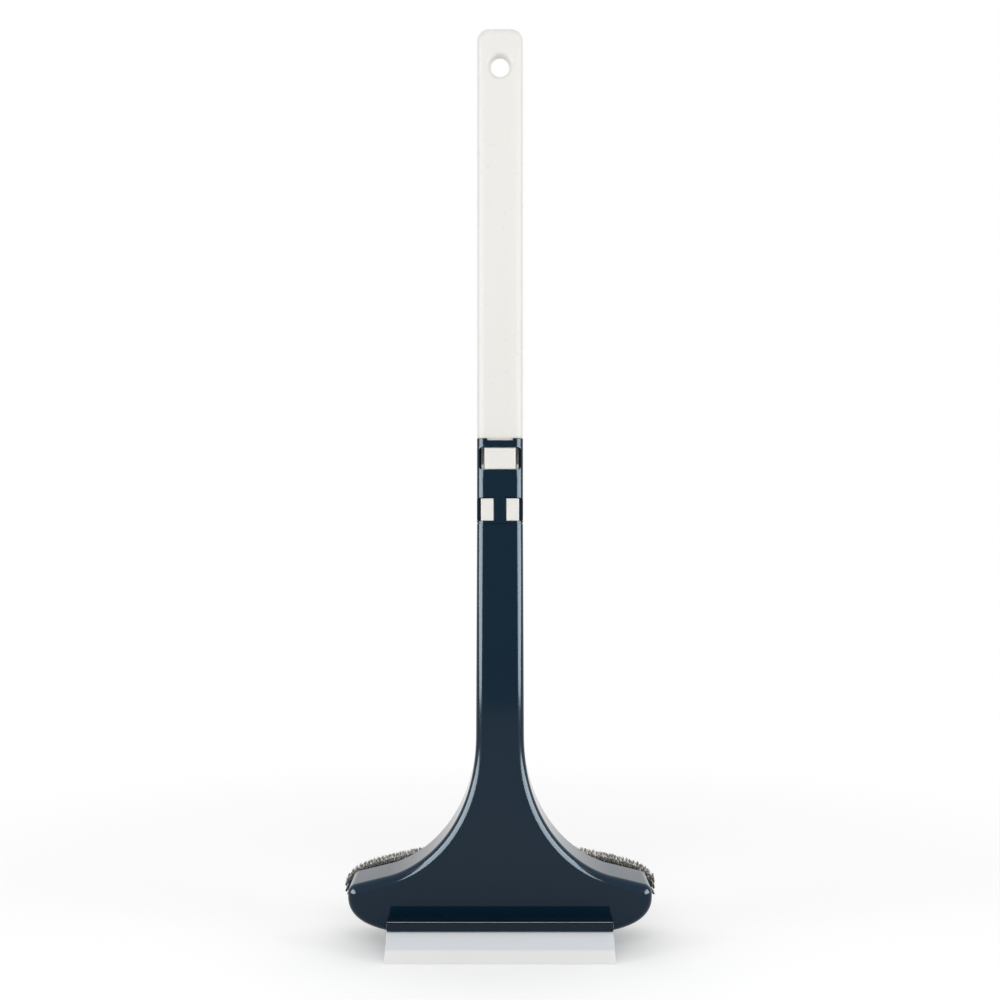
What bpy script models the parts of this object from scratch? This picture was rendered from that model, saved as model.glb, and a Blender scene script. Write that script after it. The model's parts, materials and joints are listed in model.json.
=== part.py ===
"""Window screen brush: a long white handle, a navy coupling with two snap windows, and a navy head.

The head carries a squeegee blade in front and a pile brush behind. +Z is up, the squeegee faces -Y, and the
blade's edge lies in the plane z = 0. Sizes are in metres.
"""

import math

import bmesh
import bpy
from mathutils import Euler, Matrix, Vector

MM = 0.001

# Clearances
GAP = 0.3 * MM
THREAD_GAP = 0.15 * MM
CUT_MARGIN = 1.0 * MM

# Stem: the neck, the coupling and the handle share one axis
STEM_Y = -6.55 * MM
NECK_WIDTH = 20.4 * MM
NECK_DEPTH = 14.0 * MM
SHELL_WALL = 1.5 * MM
EDGE_RADIUS = 3.3 * MM
BACK_EDGE_RADIUS = 2.2 * MM
NECK_TOP = 188.8 * MM

# Head, seen from the front
NECK_BASE_WIDTH = 21.2 * MM
FLARE_TOP = 96.0 * MM
FLARE_DROP = 42.7 * MM
FLARE_REACH = 13.9 * MM
SHOULDER_X = 49.5 * MM
SHOULDER_Z = 33.0 * MM
SHOULDER_SLOPE = 0.243
HEAD_HALF_WIDTH = 67.3 * MM
CORNER_RADIUS = 4.2 * MM
CHEEK_BELOW_CORNER = 1.37 * MM
CHEEK_DROP = 11.5 * MM
BELLY_X = 44.0 * MM
BELLY_Z = 7.8 * MM
BELLY_REACH = 10.0 * MM
BELLY_LIFT = 1.6 * MM
HEAD_BOTTOM = 7.2 * MM
HEAD_DEPTH = 27.0 * MM
HEAD_EDGE_RADIUS = 4.3 * MM
NAPE_TOP = 100.0 * MM
NAPE_BOTTOM = 78.0 * MM

# Back cover and its screws
COVER_THICKNESS = 3.0 * MM
COVER_LEDGE = 0.3 * MM
COVER_SCREWS = ((22.0 * MM, 41.0 * MM), (50.0 * MM, 21.0 * MM))
BOSS_RADIUS = 3.2 * MM
SCREW_HEAD_RADIUS = 2.4 * MM
SCREW_HEAD_HEIGHT = 1.5 * MM
SCREW_SHANK_RADIUS = 1.2 * MM
SCREW_LENGTH = 8.5 * MM
SCREW_POINT = 1.1 * MM
SCREW_CROWN_RADIUS = 1.7 * MM
SCREW_CROWN_DROP = 0.1 * MM
SCREW_BEVEL = 0.75 * MM
DRIVE_RADIUS = 1.1 * MM
DRIVE_DEPTH = 0.7 * MM
DRIVE_POINT = 0.28 * MM

# Brush board and pile
BOARD_THICKNESS = 2.4 * MM
BOARD_INSET = 2.0 * MM
PEG_RADIUS = 2.0 * MM
PEG_LENGTH = 2.2 * MM
PEG_PLACES = ((0.0, 33.0 * MM), (0.0, 16.0 * MM), (36.0 * MM, 21.0 * MM))
PILE_HALF_WIDTH = 71.5 * MM
PILE_TOP = 40.1 * MM
PILE_ARCH = 12.1 * MM
PILE_BOTTOM = 8.7 * MM
PILE_END_RISE = 8.0 * MM
PILE_END_POWER = 6
PILE_TOP_CORNER = 5.0 * MM
PILE_CORNER_POWER = 24
PILE_BACKING = 1.2 * MM
PILE_LENGTH = 12.0 * MM
PILE_CROWN = 1.6 * MM
PILE_SPLAY = 0.012
PILE_RIPPLE = 0.4 * MM
RIPPLE_ACROSS = 1700.0
RIPPLE_UP = 23.0
PILE_SLITS = (-44.0 * MM, 0.0, 44.0 * MM)
TUFT_PITCH = 3.75 * MM
TUFT_ROWS = 9
TUFT_GAP = 0.35 * MM
TUFT_TIP = 0.55

# Blade channel and squeegee blade
CHANNEL_WIDTH = 97.8 * MM
CHANNEL_DEPTH = 12.4 * MM
CHANNEL_TOP = 16.7 * MM
CHANNEL_BOTTOM = 13.0 * MM
CHANNEL_LIP_RISE = 0.7 * MM
CHANNEL_EDGE = 1.1 * MM
BLADE_FROM_LIP = 2.6 * MM
BEAD_RADIUS = 1.3 * MM
BEAD_Z = 14.9 * MM
WEB_THICKNESS = 1.1 * MM
BLADE_THICKNESS = 2.2 * MM
CREASE_Z = 5.0 * MM
CREASE_LEAN = 1.6 * MM
TIP_LEAN = 4.4 * MM
TIP_THICKNESS = 0.9 * MM
BLADE_TOP_WIDTH = 98.1 * MM
BLADE_FOOT_WIDTH = 100.0 * MM
BLADE_SHOULDER_GAP = 0.3 * MM
CHANNEL_SCREW_X = 32.0 * MM
CHANNEL_SCREW_Z = 14.9 * MM
CHANNEL_SCREW_LENGTH = 6.6 * MM

# Coupling sleeve
SLEEVE_HEIGHT = 37.2 * MM
SLEEVE_WEB = 1.6 * MM
SLEEVE_WEB_HEIGHT = 17.8 * MM
BUTTON_WINDOW_WIDTH = 18.8 * MM
BUTTON_WINDOW_TOP = 33.6 * MM
BUTTON_WINDOW_BOTTOM = 23.4 * MM
WINDOW_CORNER = 1.9 * MM
WINDOW_OVERRUN = 0.1 * MM
WINDOW_CUT_DEPTH = 3.0 * MM
PAD_WINDOW_TOP = 11.3 * MM
PAD_WINDOW_BOTTOM = 0.7 * MM
BAR_WIDTH = 5.1 * MM

# Neck spigot and neck clip
SPIGOT_FOOT = 22.0 * MM
SPIGOT_CORNER = 1.6 * MM
SPIGOT_BACK_WALL = 1.8 * MM
SPIGOT_SIDE_WALL = 0.9 * MM
SPIGOT_FLOOR = 2.5 * MM
PAD_POCKET_DEPTH = 4.2 * MM
PAD_OUTER_WIDTH = 16.8 * MM
PAD_PROUD = 0.2 * MM
LATCH_WEB_THICKNESS = 1.2 * MM
LATCH_EDGE = 0.5 * MM
CLIP_WEB_BEHIND = 0.5 * MM
CLIP_SLOT_CLEARANCE = 0.4 * MM
CLIP_PIVOT_RISE = 1.5 * MM

# Handle tube, handle plug and button
HANDLE_WIDTH = 20.3 * MM
HANDLE_DEPTH = 11.6 * MM
HANDLE_TOP = 407.8 * MM
HANDLE_TOP_CORNER = 5.4 * MM
HANDLE_EDGE = 3.4 * MM
HANDLE_WALL = 1.6 * MM
HANDLE_BORE_TOP = 371.0 * MM
HOLE_BELOW_TOP = 16.8 * MM
HOLE_WAIST_RADIUS = 4.05 * MM
HOLE_WAIST_DEPTH = 4.6 * MM
HOLE_STRETCH = 1.05
HOLE_FLARE = 2.3 * MM
KEY_WIDTH = 11.2 * MM
KEY_DROP = 0.9 * MM
PLUG_RISE = 15.0 * MM
PLUG_CEILING = 1.8 * MM
BUTTON_WIDTH = 13.8 * MM
BUTTON_STEM_WIDTH = 10.0 * MM
BUTTON_POCKET_GAP = 0.4 * MM
BUTTON_POCKET_DEPTH = 8.0 * MM
LEDGE_HEIGHT = 2.4 * MM
BUTTON_WEB_BEHIND = 1.75 * MM
BUTTON_PIVOT_DROP = 1.2 * MM

# Smoothness of the curves
FLARE_STEPS = 14
CORNER_STEPS = 4
BELLY_STEPS = 7
ROUND_STEPS = 4
TURN_STEPS = 20
HOLE_STEPS = 5
HOLE_TURN_STEPS = 32
SMALL_TURN_STEPS = 12
PILOT_TURN_STEPS = 10
BEAD_STEPS = 12
BOARD_STEPS = 24
WINDOW_STEPS = 3
TOUCH = 0.000001
FLAT_ANGLE = 0.001
EDGE_ANGLE = math.radians(50)
SMOOTH_ANGLE = math.radians(35)

# Places worked out from the sizes above
STEM_FRONT = STEM_Y - NECK_DEPTH / 2
STEM_BACK = STEM_Y + NECK_DEPTH / 2
HEAD_BACK = STEM_FRONT + HEAD_DEPTH
COVER_TOP = NAPE_BOTTOM - SHELL_WALL - GAP
SLEEVE_BOTTOM = NECK_TOP + GAP
SLEEVE_TOP = SLEEVE_BOTTOM + SLEEVE_HEIGHT
HANDLE_BOTTOM = SLEEVE_TOP + GAP
SOCKET_FRONT = STEM_FRONT + SHELL_WALL
BOARD_FRONT = HEAD_BACK + GAP
PILE_FRONT = BOARD_FRONT + BOARD_THICKNESS + GAP
CHANNEL_BACK = STEM_FRONT - GAP
CHANNEL_FRONT = CHANNEL_BACK - CHANNEL_DEPTH
BLADE_Y = CHANNEL_FRONT + BLADE_FROM_LIP


def clear_scene():
    """Removes what the scene holds at the start."""
    for old in list(bpy.data.objects):
        bpy.data.objects.remove(old, do_unlink=True)


def make_collection(name):
    """Adds a collection to the scene."""
    collection = bpy.data.collections.new(name)
    bpy.context.scene.collection.children.link(collection)
    return collection


def make_material(name, colour, roughness, metallic=0.0):
    """A Principled BSDF with the piece's own colour, roughness and metallic value."""
    material = bpy.data.materials.new(name)
    material.use_nodes = True
    shader = material.node_tree.nodes["Principled BSDF"]
    shader.inputs["Base Color"].default_value = (*colour, 1.0)
    shader.inputs["Roughness"].default_value = roughness
    shader.inputs["Metallic"].default_value = metallic
    material.diffuse_color = (*colour, 1.0)
    return material


# Outlines in the plane of two axes, running anticlockwise

def arc(centre, radius, start_deg, end_deg, steps):
    """Points along a circular arc."""
    points = []
    for step in range(steps + 1):
        angle = math.radians(start_deg + (end_deg - start_deg) * step / steps)
        points.append((centre[0] + radius * math.cos(angle), centre[1] + radius * math.sin(angle)))
    return points


def bezier(start, handle_a, handle_b, end, steps):
    """Points along a cubic curve, both ends included."""
    points = []
    for step in range(steps + 1):
        t = step / steps
        s = 1.0 - t
        weights = (s ** 3, 3 * s * s * t, 3 * s * t * t, t ** 3)
        corners = (start, handle_a, handle_b, end)
        points.append(tuple(sum(w * c[i] for w, c in zip(weights, corners)) for i in (0, 1)))
    return points


def without_doubles(points):
    """Leaves out each point that lies on the one before it."""
    kept = []
    for point in points:
        if not kept or math.dist(point, kept[-1]) > TOUCH:
            kept.append(point)
    if math.dist(kept[0], kept[-1]) < TOUCH:
        kept.pop()
    return kept


def rounded_box(low, high, radius, steps=ROUND_STEPS):
    """A rectangle from its low corner to its high corner, with round corners."""
    centres = (
        (high[0] - radius, high[1] - radius, 0),
        (low[0] + radius, high[1] - radius, 90),
        (low[0] + radius, low[1] + radius, 180),
        (high[0] - radius, low[1] + radius, 270),
    )
    points = []
    for x, y, start in centres:
        points += arc((x, y), radius, start, start + 90, steps)
    return without_doubles(points)


def stem_section(width, depth, radius):
    """A round-cornered section about the stem's axis."""
    return rounded_box((-width / 2, STEM_Y - depth / 2), (width / 2, STEM_Y + depth / 2), radius)


def inset(points, distance):
    """Moves each side of an anticlockwise outline inwards."""
    moved = []
    count = len(points)
    for i in range(count):
        before = Vector(points[i - 1])
        here = Vector(points[i])
        after = Vector(points[(i + 1) % count])
        first = (here - before).normalized()
        second = (after - here).normalized()
        normal_a = Vector((-first.y, first.x))
        normal_b = Vector((-second.y, second.x))
        mitre = (normal_a + normal_b) / (1.0 + normal_a.dot(normal_b))
        moved.append(tuple(here + mitre * distance))
    return moved


def head_outline(distance=0.0, top=NECK_TOP):
    """The neck, flare, shoulders and rounded lower edge, seen from the front."""
    neck_top = (NECK_WIDTH / 2, NECK_TOP)
    neck_base = (NECK_BASE_WIDTH / 2, FLARE_TOP)
    shoulder = (SHOULDER_X, SHOULDER_Z)
    flare = bezier(
        neck_base,
        (neck_base[0], FLARE_TOP - FLARE_DROP),
        (SHOULDER_X - FLARE_REACH, SHOULDER_Z + FLARE_REACH * SHOULDER_SLOPE),
        shoulder,
        FLARE_STEPS,
    )
    slope = math.degrees(math.atan(SHOULDER_SLOPE))
    corner_x = HEAD_HALF_WIDTH - CORNER_RADIUS
    rim = Vector((math.sin(math.radians(slope)), math.cos(math.radians(slope)))) * CORNER_RADIUS
    corner_z = SHOULDER_Z - SHOULDER_SLOPE * (corner_x + rim.x - SHOULDER_X) - rim.y
    corner = arc((corner_x, corner_z), CORNER_RADIUS, 90 - slope, 0, CORNER_STEPS)
    cheek_z = corner_z - CHEEK_BELOW_CORNER
    cheek = bezier(
        (HEAD_HALF_WIDTH, cheek_z),
        (HEAD_HALF_WIDTH, cheek_z - CHEEK_DROP),
        (BELLY_X + BELLY_REACH, BELLY_Z + BELLY_LIFT),
        (BELLY_X, BELLY_Z),
        BELLY_STEPS,
    )
    right = [neck_top] + flare + corner + cheek + [(0.0, HEAD_BOTTOM)]
    left = [(-x, z) for x, z in reversed(right[:-1])]
    points = without_doubles(list(reversed(right + left)))
    if distance:
        points = inset(points, distance)
    if top != NECK_TOP:
        highest = max(z for x, z in points)
        points = [(x, top if z > highest - TOUCH else z) for x, z in points]
    return points


def pile_edge(x):
    """The pile's lower and upper edge at a place across the brush."""
    share = abs(x) / PILE_HALF_WIDTH
    low = PILE_BOTTOM + PILE_END_RISE * share ** PILE_END_POWER
    high = PILE_TOP - PILE_ARCH * share ** 2 - PILE_TOP_CORNER * share ** PILE_CORNER_POWER
    return low, high


def board_outline():
    """The pile's outline, drawn in by the board's inset."""
    half = PILE_HALF_WIDTH - BOARD_INSET
    across = [half * math.sin(math.pi * (i / BOARD_STEPS - 0.5)) for i in range(BOARD_STEPS + 1)]
    lower = [(x, pile_edge(x)[0] + BOARD_INSET) for x in across]
    upper = [(x, pile_edge(x)[1] - BOARD_INSET) for x in reversed(across)]
    return without_doubles(lower + upper)


# Solids

FACING = {
    "X": Euler((math.pi / 2, 0.0, math.pi / 2)),
    "Y": Euler((math.pi / 2, 0.0, 0.0)),
    "Z": Euler((0.0, 0.0, 0.0)),
}


def cleaned(mesh):
    """A mesh's geometry with its doubles merged and its flat faces whole."""
    work = bmesh.new()
    work.from_mesh(mesh)
    bmesh.ops.remove_doubles(work, verts=work.verts, dist=TOUCH)
    bmesh.ops.dissolve_limit(work, angle_limit=FLAT_ANGLE, verts=work.verts, edges=work.edges)
    return work


def as_mesh(curve_object, collection):
    """Turns a curve object into a mesh object in the same place."""
    bpy.context.view_layer.update()
    evaluated = curve_object.evaluated_get(bpy.context.evaluated_depsgraph_get())
    mesh = bpy.data.meshes.new_from_object(evaluated)
    name = curve_object.name
    place = curve_object.matrix_world.copy()
    bpy.data.objects.remove(curve_object, do_unlink=True)
    work = cleaned(mesh)
    bmesh.ops.recalc_face_normals(work, faces=work.faces)
    work.to_mesh(mesh)
    work.free()
    solid = bpy.data.objects.new(name, mesh)
    solid.matrix_world = place
    collection.objects.link(solid)
    return solid


def slab(name, outline, low, high, facing, collection):
    """Extrudes an outline from low to high along an axis."""
    curve = bpy.data.curves.new(name, "CURVE")
    curve.dimensions = "2D"
    curve.fill_mode = "BOTH"
    curve.extrude = (high - low) / 2
    spline = curve.splines.new("POLY")
    spline.points.add(len(outline) - 1)
    for point, (u, v) in zip(spline.points, outline):
        point.co = (u, v, 0.0, 1.0)
    spline.use_cyclic_u = True
    shape = bpy.data.objects.new(name, curve)
    collection.objects.link(shape)
    shape.rotation_euler = FACING[facing]
    shape.location["XYZ".index(facing)] = (low + high) / 2
    return as_mesh(shape, collection)


def box(name, low, high, collection):
    """A block between two corners."""
    mesh = bpy.data.meshes.new(name)
    work = bmesh.new()
    bmesh.ops.create_cube(work, size=1.0)
    size = Vector(high) - Vector(low)
    bmesh.ops.scale(work, vec=size, verts=work.verts)
    work.to_mesh(mesh)
    work.free()
    block = bpy.data.objects.new(name, mesh)
    block.location = (Vector(low) + Vector(high)) / 2
    collection.objects.link(block)
    return block


def turned(name, profile, centre, direction, collection, steps=TURN_STEPS):
    """Spins a profile of (radius, height) points, given top to bottom, about an axis."""
    mesh = bpy.data.meshes.new(name)
    work = bmesh.new()
    ends = [work.verts.new((radius, 0.0, height)) for radius, height in profile]
    for first, second in zip(ends, ends[1:]):
        work.edges.new((first, second))
    work.to_mesh(mesh)
    work.free()
    shape = bpy.data.objects.new(name, mesh)
    collection.objects.link(shape)
    screw = shape.modifiers.new("turn", "SCREW")
    screw.steps = steps
    screw.render_steps = steps
    screw.use_merge_vertices = True
    screw.merge_threshold = 0.00001
    shape.rotation_euler = Vector(direction).to_track_quat("Z", "Y").to_euler()
    shape.location = centre
    settle(shape)
    return shape


def settle(shape):
    """Applies an object's modifiers to its mesh."""
    bpy.context.view_layer.update()
    evaluated = shape.evaluated_get(bpy.context.evaluated_depsgraph_get())
    mesh = bpy.data.meshes.new_from_object(evaluated)
    shape.modifiers.clear()
    shape.data = mesh


def combine(shape, tool, operation):
    """Cuts, joins or intersects a shape with a tool, and removes the tool."""
    modifier = shape.modifiers.new(operation.lower(), "BOOLEAN")
    modifier.operation = operation
    modifier.object = tool
    modifier.solver = "EXACT"
    settle(shape)
    bpy.data.objects.remove(tool, do_unlink=True)


def cut(shape, *tools):
    """Takes tools away from a shape."""
    for tool in tools:
        combine(shape, tool, "DIFFERENCE")


def join(shape, *tools):
    """Fuses tools to a shape."""
    for tool in tools:
        combine(shape, tool, "UNION")


def sharp_edges(work, place, chosen, square_end=None):
    """The sharp edges whose two ends, in world space, are both chosen.

    Edges that lie level at the height of a square end are left out.
    """
    found = []
    for edge in work.edges:
        ends = [place @ vert.co for vert in edge.verts]
        square = square_end is not None and all(abs(end.z - square_end) < TOUCH for end in ends)
        if edge.calc_face_angle() > EDGE_ANGLE and not square and all(chosen(end) for end in ends):
            found.append(edge)
    return found


def round_edges(shape, chosen, width, segments=ROUND_STEPS, square_end=None):
    """Rounds the chosen sharp edges by one radius."""
    bpy.context.view_layer.update()
    work = cleaned(shape.data)
    bmesh.ops.bevel(
        work, geom=sharp_edges(work, shape.matrix_world, chosen, square_end), offset=width, segments=segments,
        affect="EDGES", profile=0.5, material=-1, clamp_overlap=True,
    )
    bmesh.ops.recalc_face_normals(work, faces=work.faces)
    work.to_mesh(shape.data)
    work.free()


def front_radius(z):
    """The round of the head's front edge at a height: small along the neck, larger round the shoulders."""
    share = min(1.0, max(0.0, (FLARE_TOP - z) / (FLARE_TOP - SHOULDER_Z)))
    return EDGE_RADIUS + (HEAD_EDGE_RADIUS - EDGE_RADIUS) * share


def round_front(shape):
    """Rounds the head's front edge by a radius that follows the height, and leaves the neck's top square."""
    bpy.context.view_layer.update()
    place = shape.matrix_world
    work = cleaned(shape.data)
    weight = work.edges.layers.float.new("bevel_weight_edge")
    for edge in sharp_edges(work, place, at_depth(STEM_FRONT), NECK_TOP):
        lowest = min((place @ vert.co).z for vert in edge.verts)
        edge[weight] = front_radius(lowest) / HEAD_EDGE_RADIUS
    work.to_mesh(shape.data)
    work.free()
    bevel = shape.modifiers.new("front_edge", "BEVEL")
    bevel.limit_method = "WEIGHT"
    bevel.offset_type = "OFFSET"
    bevel.width = HEAD_EDGE_RADIUS
    bevel.segments = ROUND_STEPS
    settle(shape)


def at_depth(value):
    """Chooses points that lie at a place along Y."""
    return lambda point: abs(point.y - value) < 1e-5


def finish(shape, material, collection, origin=None):
    """Gives a finished piece its material, smooth rounds, origin and collection."""
    bpy.context.view_layer.update()
    target = Matrix.Translation(Vector(origin or (0.0, 0.0, 0.0)))
    shape.data.transform(target.inverted() @ shape.matrix_world)
    shape.matrix_world = target
    for holder in list(shape.users_collection):
        holder.objects.unlink(shape)
    collection.objects.link(shape)
    shape.data.materials.clear()
    shape.data.materials.append(material)
    shape.data.shade_smooth()
    shape.data.set_sharp_from_angle(angle=SMOOTH_ANGLE)
    return shape


# Head

def nape_profile(depth, slope_shift, reach):
    """The space behind the neck, seen from the side, that the head's thickness fills lower down."""
    return [
        (STEM_BACK - depth, NECK_TOP + reach),
        (STEM_BACK - depth, NAPE_TOP - slope_shift),
        (HEAD_BACK - depth, NAPE_BOTTOM - slope_shift),
        (HEAD_BACK + reach, NAPE_BOTTOM - slope_shift),
        (HEAD_BACK + reach, NECK_TOP + reach),
    ]


def wide_slab(name, side_outline, workshop):
    """A side outline that runs past the head's whole width."""
    half = HEAD_HALF_WIDTH + CUT_MARGIN
    return slab(name, side_outline, -half, half, "X", workshop)


def mirrored(places):
    """Both signs of each place across, once for a place in the middle."""
    both = []
    for x, z in places:
        both.append((x, z))
        if x > 0.0:
            both.append((-x, z))
    return both


def on_neck_back(point):
    """Chooses points on the flat back of the neck, above the nape."""
    return at_depth(STEM_BACK)(point) and point.z > NAPE_TOP - CUT_MARGIN


def make_head_shell(workshop):
    """The neck, flare and box of the head, open behind and at the neck's top."""
    shell = slab("head_shell", head_outline(), STEM_FRONT, HEAD_BACK, "Y", workshop)
    cut(shell, wide_slab("nape", nape_profile(0.0, 0.0, CUT_MARGIN), workshop))
    round_front(shell)
    round_edges(shell, on_neck_back, BACK_EDGE_RADIUS, square_end=NECK_TOP)
    hollow = slab(
        "head_hollow", head_outline(SHELL_WALL, NECK_TOP + CUT_MARGIN), SOCKET_FRONT, HEAD_BACK + CUT_MARGIN,
        "Y", workshop,
    )
    cut(hollow, wide_slab("inner_nape", nape_profile(SHELL_WALL, SHELL_WALL, 3 * CUT_MARGIN), workshop))
    round_edges(hollow, at_depth(SOCKET_FRONT), EDGE_RADIUS - SHELL_WALL, 2)
    cut(shell, hollow)
    for x, z in mirrored(COVER_SCREWS):
        boss_end = HEAD_BACK - COVER_THICKNESS - GAP
        join(shell, turned(
            "boss", cylinder_profile(BOSS_RADIUS, boss_end - STEM_FRONT - SHELL_WALL / 2),
            (x, boss_end, z), (0, 1, 0), workshop, SMALL_TURN_STEPS,
        ))
        cut(shell, turned(
            "pilot", cylinder_profile(SCREW_SHANK_RADIUS + THREAD_GAP, SCREW_LENGTH, CUT_MARGIN),
            (x, boss_end, z), (0, 1, 0), workshop, PILOT_TURN_STEPS,
        ))
    for x in (-CHANNEL_SCREW_X, CHANNEL_SCREW_X):
        cut(shell, turned(
            "channel_hole", cylinder_profile(SCREW_SHANK_RADIUS + GAP, SHELL_WALL + CUT_MARGIN, CUT_MARGIN),
            (x, SOCKET_FRONT, CHANNEL_SCREW_Z), (0, 1, 0), workshop, PILOT_TURN_STEPS,
        ))
    return shell


def cylinder_profile(radius, below, above=0.0):
    """A plain rod from a height above its origin to a depth below it."""
    return [(0.0, above), (radius, above), (radius, -below), (0.0, -below)]


def make_back_cover(workshop):
    """The plate that closes the head's box, with screw wells and peg holes."""
    edge = SHELL_WALL + GAP
    cover = slab(
        "back_cover", head_outline(edge), HEAD_BACK - COVER_THICKNESS, HEAD_BACK - COVER_LEDGE, "Y", workshop,
    )
    reach = HEAD_HALF_WIDTH + CUT_MARGIN
    cut(cover, box(
        "above_cover", (-reach, STEM_FRONT, COVER_TOP),
        (reach, HEAD_BACK + CUT_MARGIN, NECK_TOP + CUT_MARGIN), workshop,
    ))
    well_floor = HEAD_BACK - COVER_LEDGE - SCREW_HEAD_HEIGHT - THREAD_GAP
    for x, z in mirrored(COVER_SCREWS):
        well = [
            (0.0, CUT_MARGIN),
            (SCREW_HEAD_RADIUS + GAP, CUT_MARGIN),
            (SCREW_HEAD_RADIUS + GAP, well_floor - HEAD_BACK),
            (SCREW_SHANK_RADIUS + GAP, well_floor - HEAD_BACK),
            (SCREW_SHANK_RADIUS + GAP, -COVER_THICKNESS - CUT_MARGIN),
            (0.0, -COVER_THICKNESS - CUT_MARGIN),
        ]
        cut(cover, turned("well", well, (x, HEAD_BACK, z), (0, 1, 0), workshop, SMALL_TURN_STEPS))
    for x, z in mirrored(PEG_PLACES):
        hole = cylinder_profile(PEG_RADIUS + GAP, COVER_THICKNESS + CUT_MARGIN, CUT_MARGIN)
        cut(cover, turned("peg_hole", hole, (x, HEAD_BACK, z), (0, 1, 0), workshop, SMALL_TURN_STEPS))
    return cover


def make_screw(name, seat, direction, length, workshop):
    """A pan head screw whose head sits on its seat and whose shank runs the other way."""
    profile = [
        (0.0, SCREW_HEAD_HEIGHT - DRIVE_DEPTH),
        (DRIVE_RADIUS, SCREW_HEAD_HEIGHT - DRIVE_DEPTH + DRIVE_POINT),
        (DRIVE_RADIUS, SCREW_HEAD_HEIGHT),
        (SCREW_CROWN_RADIUS, SCREW_HEAD_HEIGHT - SCREW_CROWN_DROP),
        (SCREW_HEAD_RADIUS, SCREW_HEAD_HEIGHT - SCREW_BEVEL),
        (SCREW_HEAD_RADIUS, 0.0),
        (SCREW_SHANK_RADIUS, 0.0),
        (SCREW_SHANK_RADIUS, SCREW_POINT - length),
        (0.0, -length),
    ]
    return turned(name, profile, seat, direction, workshop, SMALL_TURN_STEPS)


def make_neck_spigot(workshop):
    """The plug in the neck's top that enters the coupling, with pockets for the neck clip."""
    width = NECK_WIDTH - 2 * SHELL_WALL - 2 * GAP
    depth = NECK_DEPTH - 2 * SHELL_WALL - 2 * GAP
    foot = NECK_TOP - SPIGOT_FOOT
    head = SLEEVE_BOTTOM + SLEEVE_WEB_HEIGHT - GAP
    spigot = slab("neck_spigot", stem_section(width, depth, SPIGOT_CORNER), foot, head, "Z", workshop)
    front = STEM_FRONT - CUT_MARGIN
    back = STEM_Y + depth / 2 - SPIGOT_BACK_WALL
    pad_top = SLEEVE_BOTTOM + PAD_WINDOW_TOP
    side = width / 2 - SPIGOT_SIDE_WALL
    cut(
        spigot,
        box("clip_pocket", (-side, front, foot + SPIGOT_FLOOR), (side, back, pad_top + GAP), workshop),
        box(
            "pad_pocket", (-width, front, SLEEVE_BOTTOM), (width, SOCKET_FRONT + PAD_POCKET_DEPTH, pad_top),
            workshop,
        ),
    )
    return spigot


def make_neck_clip(workshop):
    """A springy web with two pads, which fill the coupling's two lower windows."""
    bottom, top = clip_span()
    low = SLEEVE_BOTTOM + PAD_WINDOW_BOTTOM + GAP
    web_front = SOCKET_FRONT + CLIP_WEB_BEHIND
    web_half = (NECK_WIDTH - 2 * SHELL_WALL - 2 * GAP) / 2 - SPIGOT_SIDE_WALL - CLIP_SLOT_CLEARANCE
    web_back = web_front + LATCH_WEB_THICKNESS
    clip = box("neck_clip", (-web_half, web_front, bottom), (web_half, web_back, top), workshop)
    pad_front = STEM_FRONT + PAD_PROUD
    inner = BAR_WIDTH / 2 + GAP / 2
    for side in (-1, 1):
        spans = sorted((side * inner, side * PAD_OUTER_WIDTH / 2))
        pad = box("pad", (spans[0], pad_front, low), (spans[1], web_front + GAP, top), workshop)
        round_edges(pad, at_depth(pad_front), LATCH_EDGE, 2)
        join(clip, pad)
    return clip


def clip_span():
    """The clip's lowest and highest point."""
    bottom = NECK_TOP - SPIGOT_FOOT + SPIGOT_FLOOR + GAP
    top = SLEEVE_BOTTOM + PAD_WINDOW_TOP - GAP
    return bottom, top


def clip_pivot():
    """Where the clip's web flexes."""
    return (0.0, SOCKET_FRONT + CLIP_WEB_BEHIND + LATCH_WEB_THICKNESS / 2, clip_span()[0] + CLIP_PIVOT_RISE)


# Squeegee

def channel_outline():
    """The blade channel from the side, with its round groove and the slot below it."""
    front_top = CHANNEL_TOP + CHANNEL_LIP_RISE
    edge = arc((CHANNEL_FRONT + CHANNEL_EDGE, front_top - CHANNEL_EDGE), CHANNEL_EDGE, 90, 180, 3)
    slot_half = WEB_THICKNESS / 2 + GAP
    groove_radius = BEAD_RADIUS + GAP
    lift = math.degrees(math.asin(slot_half / groove_radius))
    groove = arc((BLADE_Y, BEAD_Z), groove_radius, 270 - lift, -90 + lift, BEAD_STEPS)
    chamfer = CHANNEL_EDGE / 3
    return (
        [(CHANNEL_BACK, CHANNEL_TOP)] + edge
        + [(CHANNEL_FRONT, CHANNEL_BOTTOM + chamfer), (CHANNEL_FRONT + chamfer, CHANNEL_BOTTOM)]
        + [(BLADE_Y - slot_half, CHANNEL_BOTTOM)] + groove
        + [(BLADE_Y + slot_half, CHANNEL_BOTTOM), (CHANNEL_BACK, CHANNEL_BOTTOM)]
    )


def make_blade_channel(workshop):
    """The navy profile that holds the blade, screwed to the head's front from inside."""
    half = CHANNEL_WIDTH / 2
    channel = slab("blade_channel", channel_outline(), -half, half, "X", workshop)
    reach = CHANNEL_SCREW_LENGTH - SHELL_WALL
    for x in (-CHANNEL_SCREW_X, CHANNEL_SCREW_X):
        pilot = cylinder_profile(SCREW_SHANK_RADIUS + THREAD_GAP, reach, CUT_MARGIN)
        place = (x, CHANNEL_BACK, CHANNEL_SCREW_Z)
        cut(channel, turned("pilot", pilot, place, (0, 1, 0), workshop, PILOT_TURN_STEPS))
    return channel


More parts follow.
